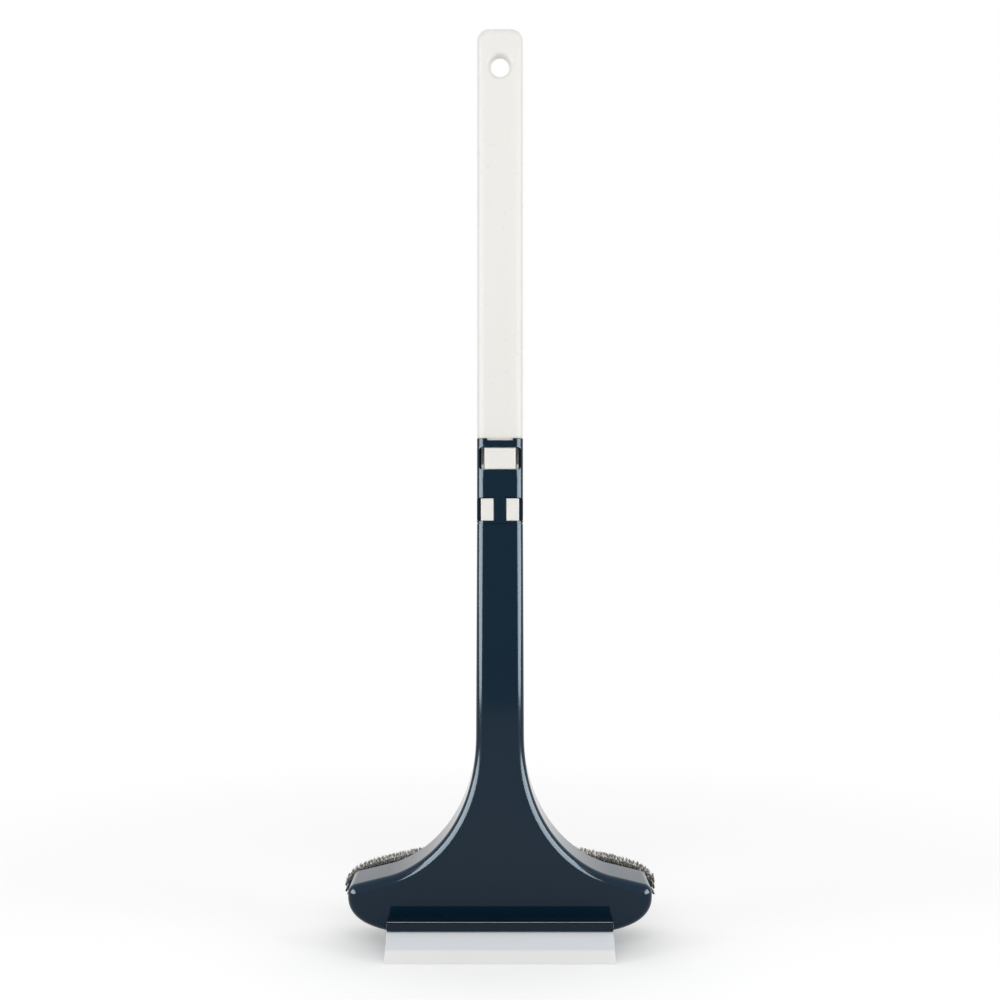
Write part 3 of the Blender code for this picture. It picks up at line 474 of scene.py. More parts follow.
@dataclass(frozen=True)
class Finish:
    """What every finish has: a name, its Principled shader's constants and its kinds of pattern."""

    name: str
    roughness: float
    ior: float = 1.5
    metallic: float = 0.0

    BUMP_STRENGTH = 0.2

    def start(self) -> tuple[Material, NodeTree, Node, Node]:
        """Makes the material.

        Returns:
            The material, its tree, its Principled shader and a node with the object's coordinates.
        """
        material, tree, shader = new_material(self.name)
        shader.inputs["Roughness"].default_value = self.roughness
        shader.inputs["IOR"].default_value = self.ior
        shader.inputs["Metallic"].default_value = self.metallic
        place = add_node(tree, "ShaderNodeTexCoord")
        return material, tree, shader, place

    def noise(self, place: Node, size_mm: float, detail: float = 2.0,
              roughness: float = 0.5) -> NodeSocket:
        """Adds a pattern of real size on the object.

        Args:
            place: the node with the object's coordinates.
            size_mm: size of the pattern's features.
            detail: how many finer layers it has.
            roughness: how strong those are.

        Returns:
            The pattern's value.
        """
        return add_node(place.id_data, "ShaderNodeTexNoise", {
            "Scale": 1.0 / (size_mm * MM), "Detail": detail, "Roughness": roughness,
        }, {"Vector": place.outputs["Object"]}).outputs["Fac"]

    def two_tone(self, shader: Node, share: NodeSocket, first: str, second: str) -> None:
        """Colours the surface between two colours.

        Args:
            shader: its Principled shader.
            share: value from 0 for the first colour to 1 for the second.
            first: an sRGB hex colour.
            second: the other one.
        """
        tint = add_node(shader.id_data, "ShaderNodeMix", {
            "data_type": "RGBA", MIX_A: linear(first), MIX_B: linear(second),
        }, {MIX_FACTOR: share})
        shader.id_data.links.new(tint.outputs[MIX_RESULT], shader.inputs["Base Color"])

    def uneven(self, shader: Node, share: NodeSocket, below: float, above: float) -> None:
        """Spreads the roughness round its constant.

        Args:
            shader: the surface's Principled shader.
            share: value from 0 for the lowest roughness to 1 for the highest.
            below: how far the lowest is under the constant.
            above: how far the highest is over it.
        """
        gloss = add_node(shader.id_data, "ShaderNodeMapRange", {
            "To Min": self.roughness - below, "To Max": self.roughness + above,
        }, {"Value": share})
        shader.id_data.links.new(gloss.outputs["Result"], shader.inputs["Roughness"])

    def dented(self, shader: Node, height: NodeSocket, depth_mm: float) -> None:
        """Dents the surface.

        Args:
            shader: its Principled shader.
            height: pattern of the dents.
            depth_mm: their real depth.
        """
        bump = add_node(shader.id_data, "ShaderNodeBump", {
            "Strength": self.BUMP_STRENGTH, "Distance": depth_mm * MM,
        }, {"Height": height})
        shader.id_data.links.new(bump.outputs["Normal"], shader.inputs["Normal"])


@dataclass(frozen=True)
class MouldedPlastic(Finish):
    """Injection-moulded ABS: an even colour, a faint flow variation and a skin not dead flat."""

    colour: str = "#ffffff"
    shade: str = "#f0f0f0"
    flow_mm: float = 45.0
    skin_mm: float = 1.6  # coarser than the real skin, which is finer than a pixel here
    skin_depth_mm: float = 0.004
    roughness_spread: float = 0.05

    def make(self) -> Material:
        """Builds the finish.

        Returns:
            The material.
        """
        material, _tree, shader, place = self.start()
        self.two_tone(shader, self.noise(place, self.flow_mm), self.colour, self.shade)
        skin = self.noise(place, self.skin_mm, detail=3.0, roughness=0.6)
        self.uneven(shader, skin, self.roughness_spread, self.roughness_spread)
        self.dented(shader, skin, self.skin_depth_mm)
        return material


@dataclass(frozen=True)
class BladeRubber(Finish):
    """Translucent squeegee rubber: painted shade and light in part, greyer above the crease where the
    channel shades it and the rubber is thicker, whiter below where it faces up.
    """

    # Painted shade in part: the band above the crease is coloured greyer for the channel's shade as
    # well as for the thicker rubber.
    upper: str = "#dbdfe3"
    lower: str = "#ececeb"
    crease: float = 5.0 * MM
    blend: float = 0.5 * MM
    subsurface: float = 0.15
    reach: float = 2.0 * MM
    grain_mm: float = 0.8  # coarser than the real grain, which is finer than a pixel here
    grain_depth_mm: float = 0.003

    def make(self) -> Material:
        """Builds the finish.

        Returns:
            The material.
        """
        material, tree, shader, place = self.start()
        split = add_node(tree, "ShaderNodeSeparateXYZ", {}, {0: place.outputs["Object"]})
        height = add_node(tree, "ShaderNodeMapRange", {
            "From Min": self.crease - self.blend, "From Max": self.crease + self.blend,
        }, {"Value": split.outputs["Z"]})
        self.two_tone(shader, height.outputs["Result"], self.lower, self.upper)
        self.dented(shader, self.noise(place, self.grain_mm), self.grain_depth_mm)
        shader.inputs["Subsurface Weight"].default_value = self.subsurface
        shader.inputs["Subsurface Radius"].default_value = (self.reach,) * 3
        shader.inputs["Subsurface Scale"].default_value = 1.0
        return material


@dataclass(frozen=True)
class PileFibre(Finish):
    """Cut nylon pile: roots painted dark as shade, ivory shafts, a taupe band and pale cut ends.

    The colours lie along each strand, from 0 at its root to 1 at its cut end, in a shade of its own.
    """

    # Painted shade: the roots are coloured near-black for the shade deep between the tufts.
    root: str = "#1a1c1f"
    shaft: str = "#fff5e4"
    band: str = "#7d776f"
    tip: str = "#b5ab9c"
    dark: str = "#2a2a2c"  # what the darkest strands are multiplied by
    root_shade_end: float = 0.36
    shaft_span: tuple[float, float] = (0.44, 0.58)
    band_span: tuple[float, float] = (0.68, 0.92)
    sheen: float = 0.2
    sheen_roughness: float = 0.5

    def make(self) -> Material:
        """Builds the finish from the strands' own attribute: x along the strand, y its shade.

        Returns:
            The material.
        """
        material, tree, shader, _place = self.start()
        strand = add_node(tree, "ShaderNodeUVMap", {"uv_map": PileBrush.STRAND_MAP})
        split = add_node(tree, "ShaderNodeSeparateXYZ", {}, {0: strand.outputs["UV"]})
        ramp = add_node(tree, "ShaderNodeValToRGB", {}, {"Fac": split.outputs["X"]})
        stops = ramp.color_ramp.elements
        stops[0].position = self.root_shade_end
        stops[0].color = linear(self.root)
        stops[1].position = 1.0
        stops[1].color = linear(self.tip)
        for span, colour in ((self.shaft_span, self.shaft), (self.band_span, self.band)):
            for place_along in span:
                stops.new(place_along).color = linear(colour)
        shade = add_node(tree, "ShaderNodeMix", {
            "data_type": "RGBA", "blend_type": "MULTIPLY", MIX_B: linear(self.dark),
        }, {MIX_FACTOR: split.outputs["Y"], MIX_A: ramp.outputs["Color"]})
        tree.links.new(shade.outputs[MIX_RESULT], shader.inputs["Base Color"])
        shader.inputs["Sheen Weight"].default_value = self.sheen
        shader.inputs["Sheen Roughness"].default_value = self.sheen_roughness
        return material


@dataclass(frozen=True)
class PlatedSteel(Finish):
    """Zinc-plated screw steel, with the uneven gloss of its plating."""

    colour: str = "#b9bbbd"
    grain_mm: float = 0.3  # coarser than the real plating, which is finer than a pixel here
    glossier: float = 0.08
    duller: float = 0.12

    def make(self) -> Material:
        """Builds the finish.

        Returns:
            The material.
        """
        material, _tree, shader, place = self.start()
        shader.inputs["Base Color"].default_value = linear(self.colour)
        self.uneven(shader, self.noise(place, self.grain_mm), self.glossier, self.duller)
        return material


class Palette:
    """The finishes of the brush, each made once."""

    def __init__(self) -> None:
        """Makes every material."""
        # A polished mould: near-black blue, with long, almost sharp streaks of the soft boxes.
        self.navy = MouldedPlastic(
            FinishName.NAVY.value, 0.09, 1.3, colour="#051f30", shade="#072233",
            roughness_spread=0.02,
        ).make()
        # Painted shade: the same plastic in the channel, coloured a shade darker than the shell above
        # it.
        self.channel = MouldedPlastic(
            FinishName.SHADED_CHANNEL.value, 0.09, 1.3, colour="#041a28", shade="#061d2b",
            roughness_spread=0.02,
        ).make()
        # An unpolished mould: a broad dull sheen without streaks, on what lies inside and behind.
        self.navy_satin = MouldedPlastic(
            "navy_satin_abs", 0.34, 1.4, colour="#0a2130", shade="#0c2535", roughness_spread=0.06,
        ).make()
        # Half-polished: an even, faintly warm white with a soft highlight along each rounded edge.
        self.white = MouldedPlastic(
            FinishName.WHITE.value, 0.28, 1.5, colour="#e9e8e4", shade="#e7e6e1",
            skin_depth_mm=0.0015, roughness_spread=0.02,
        ).make()
        # Cast rubber that lets light a little way in: milky and without hard shading.
        self.rubber = BladeRubber("translucent_blade_rubber", 0.3, 1.5).make()
        # Felt on the board: it swallows light and shows as a dark line between shell and pile.
        self.board = MouldedPlastic(
            "black_board_felt", 0.7, 1.5, colour="#1a232b", shade="#0d1216", skin_mm=0.7,
            skin_depth_mm=0.2,
        ).make()
        # Cut nylon: pale upright teeth over roots painted dark as shade between the tufts, with a
        # taupe band under the pale ends.
        self.pile = PileFibre("cut_nylon_pile", 0.55, 1.55).make()
        # Bright zinc on steel: small cool glints in the screw heads.
        self.steel = PlatedSteel("zinc_plated_steel", 0.3, metallic=1.0).make()


def paint(material: Material, *nodes: str) -> None:
    """Gives a material to CAD nodes that are shown as they are.

    Args:
        material: what they are made of.
        nodes: their names.
    """
    for node in nodes:
        materials = frame["nodes"][node].data.materials
        materials.clear()
        materials.append(material)
        log.info("%s is shown as modelled in CAD", node)


def dress(piece: Object, material: Material, body: str, slot: str, *nodes: str) -> None:
    """Finishes a piece: its material, smooth rounds, body and the solids it stands for.

    Args:
        piece: the finished mesh object.
        material: what it is made of.
        body: the body that it rides on.
        slot: the record's material slot; not used.
        nodes: CAD nodes that it replaces.
    """
    piece.data.materials.clear()
    piece.data.materials.append(material)
    piece.data.shade_smooth()
    piece.data.set_sharp_from_angle(angle=SMOOTH)
    even = piece.modifiers.new("even_normals", "WEIGHTED_NORMAL")
    even.keep_sharp = True
    even.weight = 100
    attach(piece, body)
    if nodes:
        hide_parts(*nodes)
    log.info("%s rides on %s", piece.name, body)


# Sub-assemblies

@dataclass
class Stem:
    """What the neck, the coupling and the handle share: axis, section, wall, gaps and key."""

    axis_y: float = -6.55 * MM
    width: float = 20.4 * MM
    depth: float = 14.0 * MM
    wall: float = 1.5 * MM
    edge: float = 3.3 * MM
    gap: float = 0.3 * MM
    neck_top: float = 188.8 * MM
    sleeve_height: float = 37.2 * MM
    key_width: float = 11.2 * MM
    key_drop: float = 0.9 * MM

    @property
    def front(self) -> float:
        """The plane of the neck's and the head's front."""
        return self.axis_y - self.depth / 2

    @property
    def back(self) -> float:
        """The plane of the neck's back."""
        return self.axis_y + self.depth / 2

    @property
    def sleeve_bottom(self) -> float:
        """The coupling's lower end."""
        return self.neck_top + self.gap

    @property
    def sleeve_top(self) -> float:
        """The coupling's upper end."""
        return self.sleeve_bottom + self.sleeve_height

    def section(self, width: float, depth: float, radius: float, steps: int = 8) -> list[Point]:
        """A round-cornered section about the stem's axis.

        Args:
            width: its size across.
            depth: its size from front to back.
            radius: radius of its corners.
            steps: chords in each corner.

        Returns:
            The outline, anticlockwise.
        """
        low = (-width / 2, self.axis_y - depth / 2)
        return rounded(low, (width / 2, self.axis_y + depth / 2), radius, steps)


@dataclass
class Assembly:
    """What every sub-assembly has: its stem, the finishes, and how far tools run past a solid."""

    stem: Stem
    palette: Palette
    margin: float = 1.0 * MM

    def dress(self) -> None:
        """Builds and finishes the pieces, which each sub-assembly does in its own way."""
        raise NotImplementedError


@dataclass
class Handle(Assembly):
    """The white handle with its hanging hole, and the plug at its foot."""

    width: float = 20.3 * MM
    depth: float = 11.6 * MM
    top: float = 407.8 * MM
    top_corner: float = 5.4 * MM
    edge: float = 3.4 * MM
    wall: float = 1.6 * MM
    bore_top: float = 371.0 * MM
    hole_below_top: float = 16.8 * MM
    hole_waist: float = 4.05 * MM  # radius, as hole_flare adds to it at both mouths
    hole_waist_depth: float = 4.6 * MM
    hole_flare: float = 2.3 * MM
    hole_stretch: float = 1.05

    @property
    def foot(self) -> float:
        """The handle's lower end."""
        return self.stem.sleeve_top + self.stem.gap

    def build(self) -> Object:
        """Models the tube.

        Returns:
            The finished tube.
        """
        half = self.width / 2
        front = self.stem.axis_y - self.depth / 2
        back = self.stem.axis_y + self.depth / 2
        side = self.top - self.top_corner
        outline = [(-half, self.foot), (half, self.foot)]
        outline += arc((half - self.top_corner, side), self.top_corner, 0, 90, steps=14)
        outline += arc((-half + self.top_corner, side), self.top_corner, 90, 180, steps=14)
        tube = Solid.prism("handle_tube_moulded", distinct(outline), front, back, Facing.DEEP)
        tube.round_edges(
            lambda co: at("y", front)(co) or at("y", back)(co), self.edge, segments=12,
            square_end=self.foot,
        )
        bore = self.stem.section(
            self.width - 2 * self.wall, self.depth - 2 * self.wall, self.edge - self.wall,
        )
        tube.cut(
            Solid.prism("bore", bore, self.foot - self.margin, self.bore_top, Facing.UP), self.hole(),
        )
        key = self.stem.key_width / 2
        tube.join(Solid.block(
            "key", (-key, front + self.stem.gap, self.foot - self.stem.key_drop),
            (key, front + self.wall, self.foot + self.margin),
        ))
        return tube.as_object()

    def hole(self) -> Solid:
        """Models the hanging hole's space: rounded in to a waist, then a straight cone to the back.

        Returns:
            The space as a solid.
        """
        half = self.depth / 2
        mouth = self.hole_waist + self.hole_flare
        waist = self.hole_waist_depth - half
        rounding = arc((0.0, 0.0), 1.0, 180, 270, steps=12)
        profile = [(0.0, half + self.margin), (mouth, half + self.margin), (mouth, half)]
        profile += [(mouth + self.hole_flare * u, waist + (waist + half) * v) for u, v in rounding]
        profile += [(mouth, -half - self.margin), (0.0, -half - self.margin)]
        centre = (0.0, self.stem.axis_y, self.top - self.hole_below_top)
        hole = Solid.turned("hanging_hole", distinct(profile), centre, steps=72)
        for vert in hole.bm.verts:
            vert.co.z = centre[2] + (vert.co.z - centre[2]) * self.hole_stretch
        return hole

    def dress(self) -> None:
        """Builds and finishes the handle."""
        dress(self.build(), self.palette.white, "handle", "white_plastic", "handle_tube")
        paint(self.palette.white, "handle_plug")


@dataclass
class Coupling(Assembly):
    """The navy sleeve, the neck's spigot in it, and the white latches that show in its windows."""

    web_height: float = 17.8 * MM
    web: float = 1.6 * MM
    button_window: tuple[float, float, float] = (18.8 * MM, 23.4 * MM, 33.6 * MM)
    pad_window: tuple[float, float] = (0.7 * MM, 11.3 * MM)
    window_corner: float = 1.9 * MM
    window_overrun: float = 0.1 * MM
    window_depth: float = 3.0 * MM
    lip_inset: float = 0.4 * MM
    lip_drop: float = 0.25 * MM
    bar: float = 5.1 * MM

    def build_sleeve(self) -> Object:
        """Models the sleeve.

        Returns:
            The finished sleeve.
        """
        stem = self.stem
        bottom, top = stem.sleeve_bottom, stem.sleeve_top
        outer = stem.section(stem.width, stem.depth, stem.edge, steps=10)
        sleeve = Solid.prism("coupling_sleeve_moulded", outer, bottom, top, Facing.UP)
        inner = drawn_in(outer, stem.wall)
        web = bottom + self.web_height
        sleeve.cut(
            Solid.prism("lower_socket", inner, bottom - self.margin, web, Facing.UP),
            Solid.prism("upper_socket", inner, web + self.web, top + self.margin, Facing.UP),
        )
        front = stem.front - self.margin
        back = stem.front + self.window_depth
        width, low, high = self.button_window
        window = rounded((-width / 2, bottom + low), (width / 2, bottom + high), self.window_corner)
        sleeve.cut(Solid.prism("button_window", window, front, back, Facing.DEEP))
        low, high = self.pad_window
        bar = self.bar / 2
        for side in (-1, 1):
            ends = (bar - self.window_corner, stem.width / 2 + self.window_overrun)
            near, far = sorted(side * end for end in ends)
            window = rounded((near, bottom + low), (far, bottom + high), self.window_corner)
            opening = Solid.prism("pad_window", window, front, back, Facing.DEEP)
            opening.cut(Solid.block(
                "bar", (-bar, front - self.margin, 0.0), (bar, back + self.margin, top),
            ))
            sleeve.cut(opening)
        rim = drawn_in(outer, self.lip_inset)
        lip = Solid.prism("seam_lip", rim, bottom - self.lip_drop, bottom + self.margin, Facing.UP)
        lip.cut(Solid.prism(
            "lip_bore", inner, bottom - self.margin, bottom + 2 * self.margin, Facing.UP,
        ))
        sleeve.join(lip)
        key = stem.key_width / 2 + stem.gap
        sleeve.cut(Solid.block(
            "key_notch", (-key, front, top - stem.key_drop), (key, stem.axis_y, top + self.margin),
        ))
        return sleeve.as_object()

    def dress(self) -> None:
        """Builds and finishes the sleeve and dresses the latches."""
        dress(self.build_sleeve(), self.palette.navy, "coupling", "navy_gloss", "coupling_sleeve")
        paint(self.palette.white, "neck_clip", "handle_button")
        paint(self.palette.navy_satin, "neck_spigot")


@dataclass
class Head(Assembly):
    """The navy head: neck, flare, shoulders and box, with the back cover and its screws."""

    neck_base: float = 21.2 * MM
    flare_top: float = 96.0 * MM
    flare_drop: float = 42.7 * MM
    flare_reach: float = 13.9 * MM
    shoulder: Point = (49.5 * MM, 33.0 * MM)
    slope: float = 0.243  # fall of the shoulder's top per metre outwards
    half_width: float = 67.3 * MM
    corner: float = 4.2 * MM
    cheek_below_corner: float = 1.37 * MM
    cheek_drop: float = 11.5 * MM
    belly: Point = (44.0 * MM, 7.8 * MM)
    belly_reach: float = 10.0 * MM
    belly_lift: float = 1.6 * MM
    bottom: float = 7.2 * MM
    depth: float = 27.0 * MM
    front_edge: float = 4.3 * MM
    nape_top: float = 100.0 * MM
    nape_bottom: float = 78.0 * MM
    back_edge: float = 2.2 * MM

    @property
    def back(self) -> float:
        """The plane of the head's back."""
        return self.stem.front + self.depth

    def outline(self, inset: float = 0.0, top: float | None = None) -> list[Point]:
        """The head from the front.

        Args:
            inset: how far the outline is drawn in.
            top: height of its upper end, the neck's top if left out.

        Returns:
            The outline, anticlockwise.
        """
        base = (self.neck_base / 2, self.flare_top)
        sx, sz = self.shoulder
        flare = bezier(
            base, (base[0], self.flare_top - self.flare_drop),
            (sx - self.flare_reach, sz + self.flare_reach * self.slope), self.shoulder,
            steps=48,
        )
        tilt = math.atan(self.slope)
        corner_x = self.half_width - self.corner
        rim = Vector((math.sin(tilt), math.cos(tilt))) * self.corner
        corner_z = sz - self.slope * (corner_x + rim.x - sx) - rim.y
        corner = arc((corner_x, corner_z), self.corner, 90 - math.degrees(tilt), 0, steps=12)
        cheek_z = corner_z - self.cheek_below_corner
        cheek = bezier(
            (self.half_width, cheek_z), (self.half_width, cheek_z - self.cheek_drop),
            (self.belly[0] + self.belly_reach, self.belly[1] + self.belly_lift), self.belly,
            steps=24,
        )
        neck, bottom = (self.stem.width / 2, self.stem.neck_top), (0.0, self.bottom)
        right = [neck] + flare + corner + cheek + [bottom]
        left = [(-x, z) for x, z in reversed(right[:-1])]
        points = distinct(reversed(right + left))
        if inset:
            points = drawn_in(points, inset)
        if top is not None:
            highest = max(z for _, z in points)
            points = [(x, top if z > highest - TOUCH else z) for x, z in points]
        return points

    def nape(self, wall: float, reach: float) -> Solid:
        """The space behind the neck that only the head's own thickness fills lower down.

        Args:
            wall: how far forward and down the space is moved, for the hollow inside.
            reach: how far it runs past the head.

        Returns:
            The space as a solid.
        """
        profile = [
            (self.stem.back - wall, self.stem.neck_top + reach),
            (self.stem.back - wall, self.nape_top - wall),
            (self.back - wall, self.nape_bottom - wall),
            (self.back + reach, self.nape_bottom - wall),
            (self.back + reach, self.stem.neck_top + reach),
        ]
        half = self.half_width + self.margin
        return Solid.prism("nape", profile, -half, half, Facing.ACROSS)

    def front_radius(self, z: float) -> float:
        """The front edge's round at a height: small along the neck, larger round the shoulders."""
        share = min(1.0, max(0.0, (self.flare_top - z) / (self.flare_top - self.shoulder[1])))
        return self.stem.edge + (self.front_edge - self.stem.edge) * share

    def round_front(self, shell: Solid) -> Solid:
        """Rounds the shell's front edge by the radius at each height, but not the neck's top.

        Args:
            shell: the square-edged shell, which this uses up.

        Returns:
            The rounded shell.
        """
        front = at("y", self.stem.front)
        top = at("z", self.stem.neck_top)
        weight = shell.bm.edges.layers.float.new("bevel_weight_edge")
        for edge in shell.bm.edges:
            ends = [vert.co for vert in edge.verts]
            if all(map(front, ends)) and not all(map(top, ends)) and edge.calc_face_angle() > RIM:
                lowest = min(vert.co.z for vert in edge.verts)
                edge[weight] = self.front_radius(lowest) / self.front_edge
        return shell.modified("BEVEL", {
            "limit_method": "WEIGHT", "offset_type": "OFFSET", "width": self.front_edge,
            "segments": 12,
        })

    def build(self) -> Object:
        """Models the shell.

        Returns:
            The finished shell.
        """
        stem = self.stem
        shell = Solid.prism(
            "head_shell_moulded", self.outline(), stem.front, self.back, Facing.DEEP,
        )
        shell.cut(self.nape(0.0, self.margin))
        shell = self.round_front(shell)
        shell.round_edges(
            lambda co: at("y", stem.back)(co) and self.nape_top - self.margin < co.z,
            self.back_edge, segments=8, square_end=stem.neck_top,
        )
        hollow = Solid.prism(
            "head_hollow", self.outline(stem.wall, stem.neck_top + self.margin),
            stem.front + stem.wall, self.back + self.margin, Facing.DEEP,
        )
        hollow.cut(self.nape(stem.wall, 3 * self.margin))
        hollow.round_edges(at("y", stem.front + stem.wall), stem.edge - stem.wall, segments=4)
        shell.cut(hollow)
        return shell.as_object()

    def dress(self) -> None:
        """Builds and finishes the head and dresses the cover and its screws."""
        dress(self.build(), self.palette.navy, "head", "navy_gloss", "head_shell")
        paint(self.palette.steel, *(node for node in frame["nodes"] if "screw" in node))
        paint(self.palette.navy_satin, "back_cover")


@dataclass
class Squeegee(Assembly):
    """The blade channel across the head's front and the rubber blade in its groove."""

    channel_width: float = 97.8 * MM
    channel_depth: float = 12.4 * MM
    top: float = 16.7 * MM
    bottom: float = 13.0 * MM
    lip_rise: float = 0.7 * MM
    lip_edge: float = 1.1 * MM
    blade_from_lip: float = 2.6 * MM
    bead: float = 1.3 * MM
    bead_z: float = 14.9 * MM
    web: float = 1.1 * MM
    thickness: float = 2.2 * MM
    crease: float = 5.0 * MM
    crease_lean: float = 1.6 * MM
    tip_lean: float = 4.4 * MM
    tip: float = 0.9 * MM
    blade_width: float = 98.1 * MM
    foot_width: float = 100.0 * MM

    @property
    def lip(self) -> float:
        """The plane of the channel's front lip."""
        return self.stem.front - self.stem.gap - self.channel_depth

    @property
    def blade_y(self) -> float:
        """The middle of the blade's web."""
        return self.lip + self.blade_from_lip

    def build_channel(self) -> Object:
        """Models the channel.

        Returns:
            The finished channel.
        """
        back = self.stem.front - self.stem.gap
        front_top = self.top + self.lip_rise
        corner = (self.lip + self.lip_edge, front_top - self.lip_edge)
        edge = arc(corner, self.lip_edge, 90, 180, steps=10)
        slot = self.web / 2 + self.stem.gap
        groove = self.bead + self.stem.gap
        lift = math.degrees(math.asin(slot / groove))
        chamfer = self.lip_edge / 3
        outline = [(back, self.top)] + edge
        outline += arc((self.lip + chamfer, self.bottom + chamfer), chamfer, 180, 270, steps=4)
        outline += [(self.blade_y - slot, self.bottom)]
        outline += arc((self.blade_y, self.bead_z), groove, 270 - lift, -90 + lift, steps=28)
        outline += [(self.blade_y + slot, self.bottom), (back, self.bottom)]
        half = self.channel_width / 2
        return Solid.prism(
            "blade_channel_moulded", distinct(outline), -half, half, Facing.ACROSS,
        ).as_object()

    def build_blade(self) -> Object:
        """Models the blade.

        Returns:
            The finished blade.
        """
        web = self.web / 2
        body = self.thickness / 2
        lift = math.degrees(math.asin(web / self.bead))
        shoulder = self.bottom - self.stem.gap
        crease_y = self.blade_y - self.crease_lean
        tip_y = crease_y - self.tip_lean
        outline = [
            (self.blade_y - web, shoulder),
            (self.blade_y - body, shoulder - self.stem.gap),
            (crease_y - body, self.crease),
            (tip_y, 0.0),
            (tip_y + self.tip, 0.0),
            (crease_y + body, self.crease),
            (self.blade_y + body, shoulder - self.stem.gap),
            (self.blade_y + web, shoulder),
        ]
        outline += arc((self.blade_y, self.bead_z), self.bead, -90 + lift, 270 - lift, steps=28)
        half = self.blade_width / 2
        blade = Solid.prism("squeegee_blade_moulded", distinct(outline), -half, half, Facing.ACROSS)
        spread = self.foot_width / self.blade_width - 1.0
        for vert in blade.bm.verts:
            vert.co.x *= 1.0 + spread * max(0.0, 1.0 - vert.co.z / shoulder)
        return blade.as_object()

    def dress(self) -> None:
        """Builds and finishes the channel and the blade."""
        dress(self.build_channel(), self.palette.channel, "head", "navy_gloss", "blade_channel")
        dress(self.build_blade(), self.palette.rubber, "blade", "blade_rubber", "squeegee_blade")


@dataclass
class PileBrush(Assembly):
    """The pile behind the head: tufts of cut strands on a dark board."""

    STRAND_MAP = "strand"
    RINGS = ((0.0, 0.9), (0.55, 1.0), (1.0, 0.8))  # share of a strand's length, share of its width
    SIDES = 4

    half_width: float = 71.5 * MM
    top: float = 40.1 * MM
    arch: float = 12.1 * MM
    bottom: float = 8.7 * MM
    end_rise: float = 8.0 * MM
    top_corner: float = 5.0 * MM
    backing: float = 1.2 * MM
    length: float = 12.0 * MM
    crown: float = 1.6 * MM
    slits: tuple[float, ...] = (-44.0 * MM, 0.0, 44.0 * MM)
    tuft_pitch: float = 1.72 * MM
    root_radius: float = 0.3 * MM
    tip_radius: float = 0.78 * MM
    fan: float = 1.0 * MM
    strands_per_tuft: int = 22
    strand_width: float = 0.24 * MM  # coarser than a real fibre, so that single ends show
    strand_bend: float = 0.25 * MM
    uneven_cut: float = 0.5 * MM
    stagger: float = 0.25
    seed: int = 7

    def edge(self, x: float) -> tuple[float, float]:
        """The pile's edges at a place across the brush.

        Args:
            x: the place.

        Returns:
            The heights of the lower and the upper edge.
        """
        share = abs(x) / self.half_width
        low = self.bottom + self.end_rise * share ** 6
        high = self.top - self.arch * share ** 2 - self.top_corner * share ** 24
        return low, high

    def strand(self, bm: bmesh.types.BMesh, root: Vector, tip: Vector, width: float, shade: float,
               rng: random.Random) -> None:
        """Adds one four-sided strand with a slight bend.

        Args:
            bm: mesh that it joins.
            root: middle of its end at the board.
            tip: middle of its cut end.
            width: its width where it is widest.
            shade: its own darkness, from 0 to 1.
            rng: source of its turn and bend.
        """
        layer = bm.loops.layers.uv[self.STRAND_MAP]
        turn = rng.uniform(0.0, math.pi / 2)
        bend = Vector((rng.uniform(-1, 1), 0.0, rng.uniform(-1, 1))) * self.strand_bend
        rings = []
        for share, scale in self.RINGS:
            centre = root.lerp(tip, share) + bend * math.sin(math.pi * share)
            ring = []
            for corner in range(self.SIDES):
                angle = turn + corner * 2 * math.pi / self.SIDES
                offset = Vector((math.cos(angle), 0.0, math.sin(angle))) * width * scale / 2
                ring.append(bm.verts.new(centre + offset))
            rings.append((share, ring))
        for (low_share, low), (high_share, high) in zip(rings, rings[1:]):
            for i in range(self.SIDES):
                face = bm.faces.new((low[i - 1], high[i - 1], high[i], low[i]))
                for loop, share in zip(face.loops, (low_share, high_share, high_share, low_share)):
                    loop[layer].uv = (share, shade)
        for share, ring in (rings[0], rings[-1]):
            cap = bm.faces.new(list(reversed(ring)) if share else ring)
            for loop in cap.loops:
                loop[layer].uv = (share, shade)

    def build_block(self, number: int, left: float, right: float) -> Object:
        """Models one block of the pile.

        Args:
            number: its number from the left.
            left: its left edge.
            right: its right edge.

        Returns:
            The finished block.
        """
        rng = random.Random(self.seed + number)
        bm = bmesh.new()
        bm.loops.layers.uv.new(self.STRAND_MAP)
        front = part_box(f"pile_{number}")[0][1]
        columns = max(1, round((right - left) / self.tuft_pitch))
        for column in range(columns):
            x = left + (right - left) * (column + 0.5) / columns
            bottom, top = self.edge(x)
            rows = max(2, round((top - bottom) / self.tuft_pitch))
            for row in range(rows):
                z = bottom + (top - bottom) * (row + 0.5) / rows
                share = 2 * (z - bottom) / (top - bottom) - 1
                step = (self.stagger if (rows - row) % 2 else -self.stagger) * self.tuft_pitch
                drop = self.crown * ((x / self.half_width) ** 4 + share ** 4) / 2
                reach = self.length - drop
                for _ in range(self.strands_per_tuft):
                    across, up = rng.uniform(-1.0, 1.0), rng.uniform(-1.0, 1.0)
                    root = Vector((
                        x + step + across * self.root_radius, front + self.backing,
                        z - share * self.fan + up * self.root_radius,
                    ))
                    tip = Vector((
                        x + step + across * self.tip_radius,
                        front + self.backing + reach - rng.uniform(0.0, self.uneven_cut),
                        z + up * self.tip_radius,
                    ))
                    self.strand(bm, root, tip, self.strand_width, rng.random(), rng)
        return placed(f"pile_block_{number}", bm)

    def dress(self) -> None:
        """Builds and finishes the four blocks and dresses the board."""
        edges = (-self.half_width, *self.slits, self.half_width)
        for number, (left, right) in enumerate(zip(edges, edges[1:]), start=1):
            block = self.build_block(number, left + self.stem.gap / 2, right - self.stem.gap / 2)
            dress(block, self.palette.pile, "head", "pile", f"pile_{number}")
        paint(self.palette.board, "brush_board")


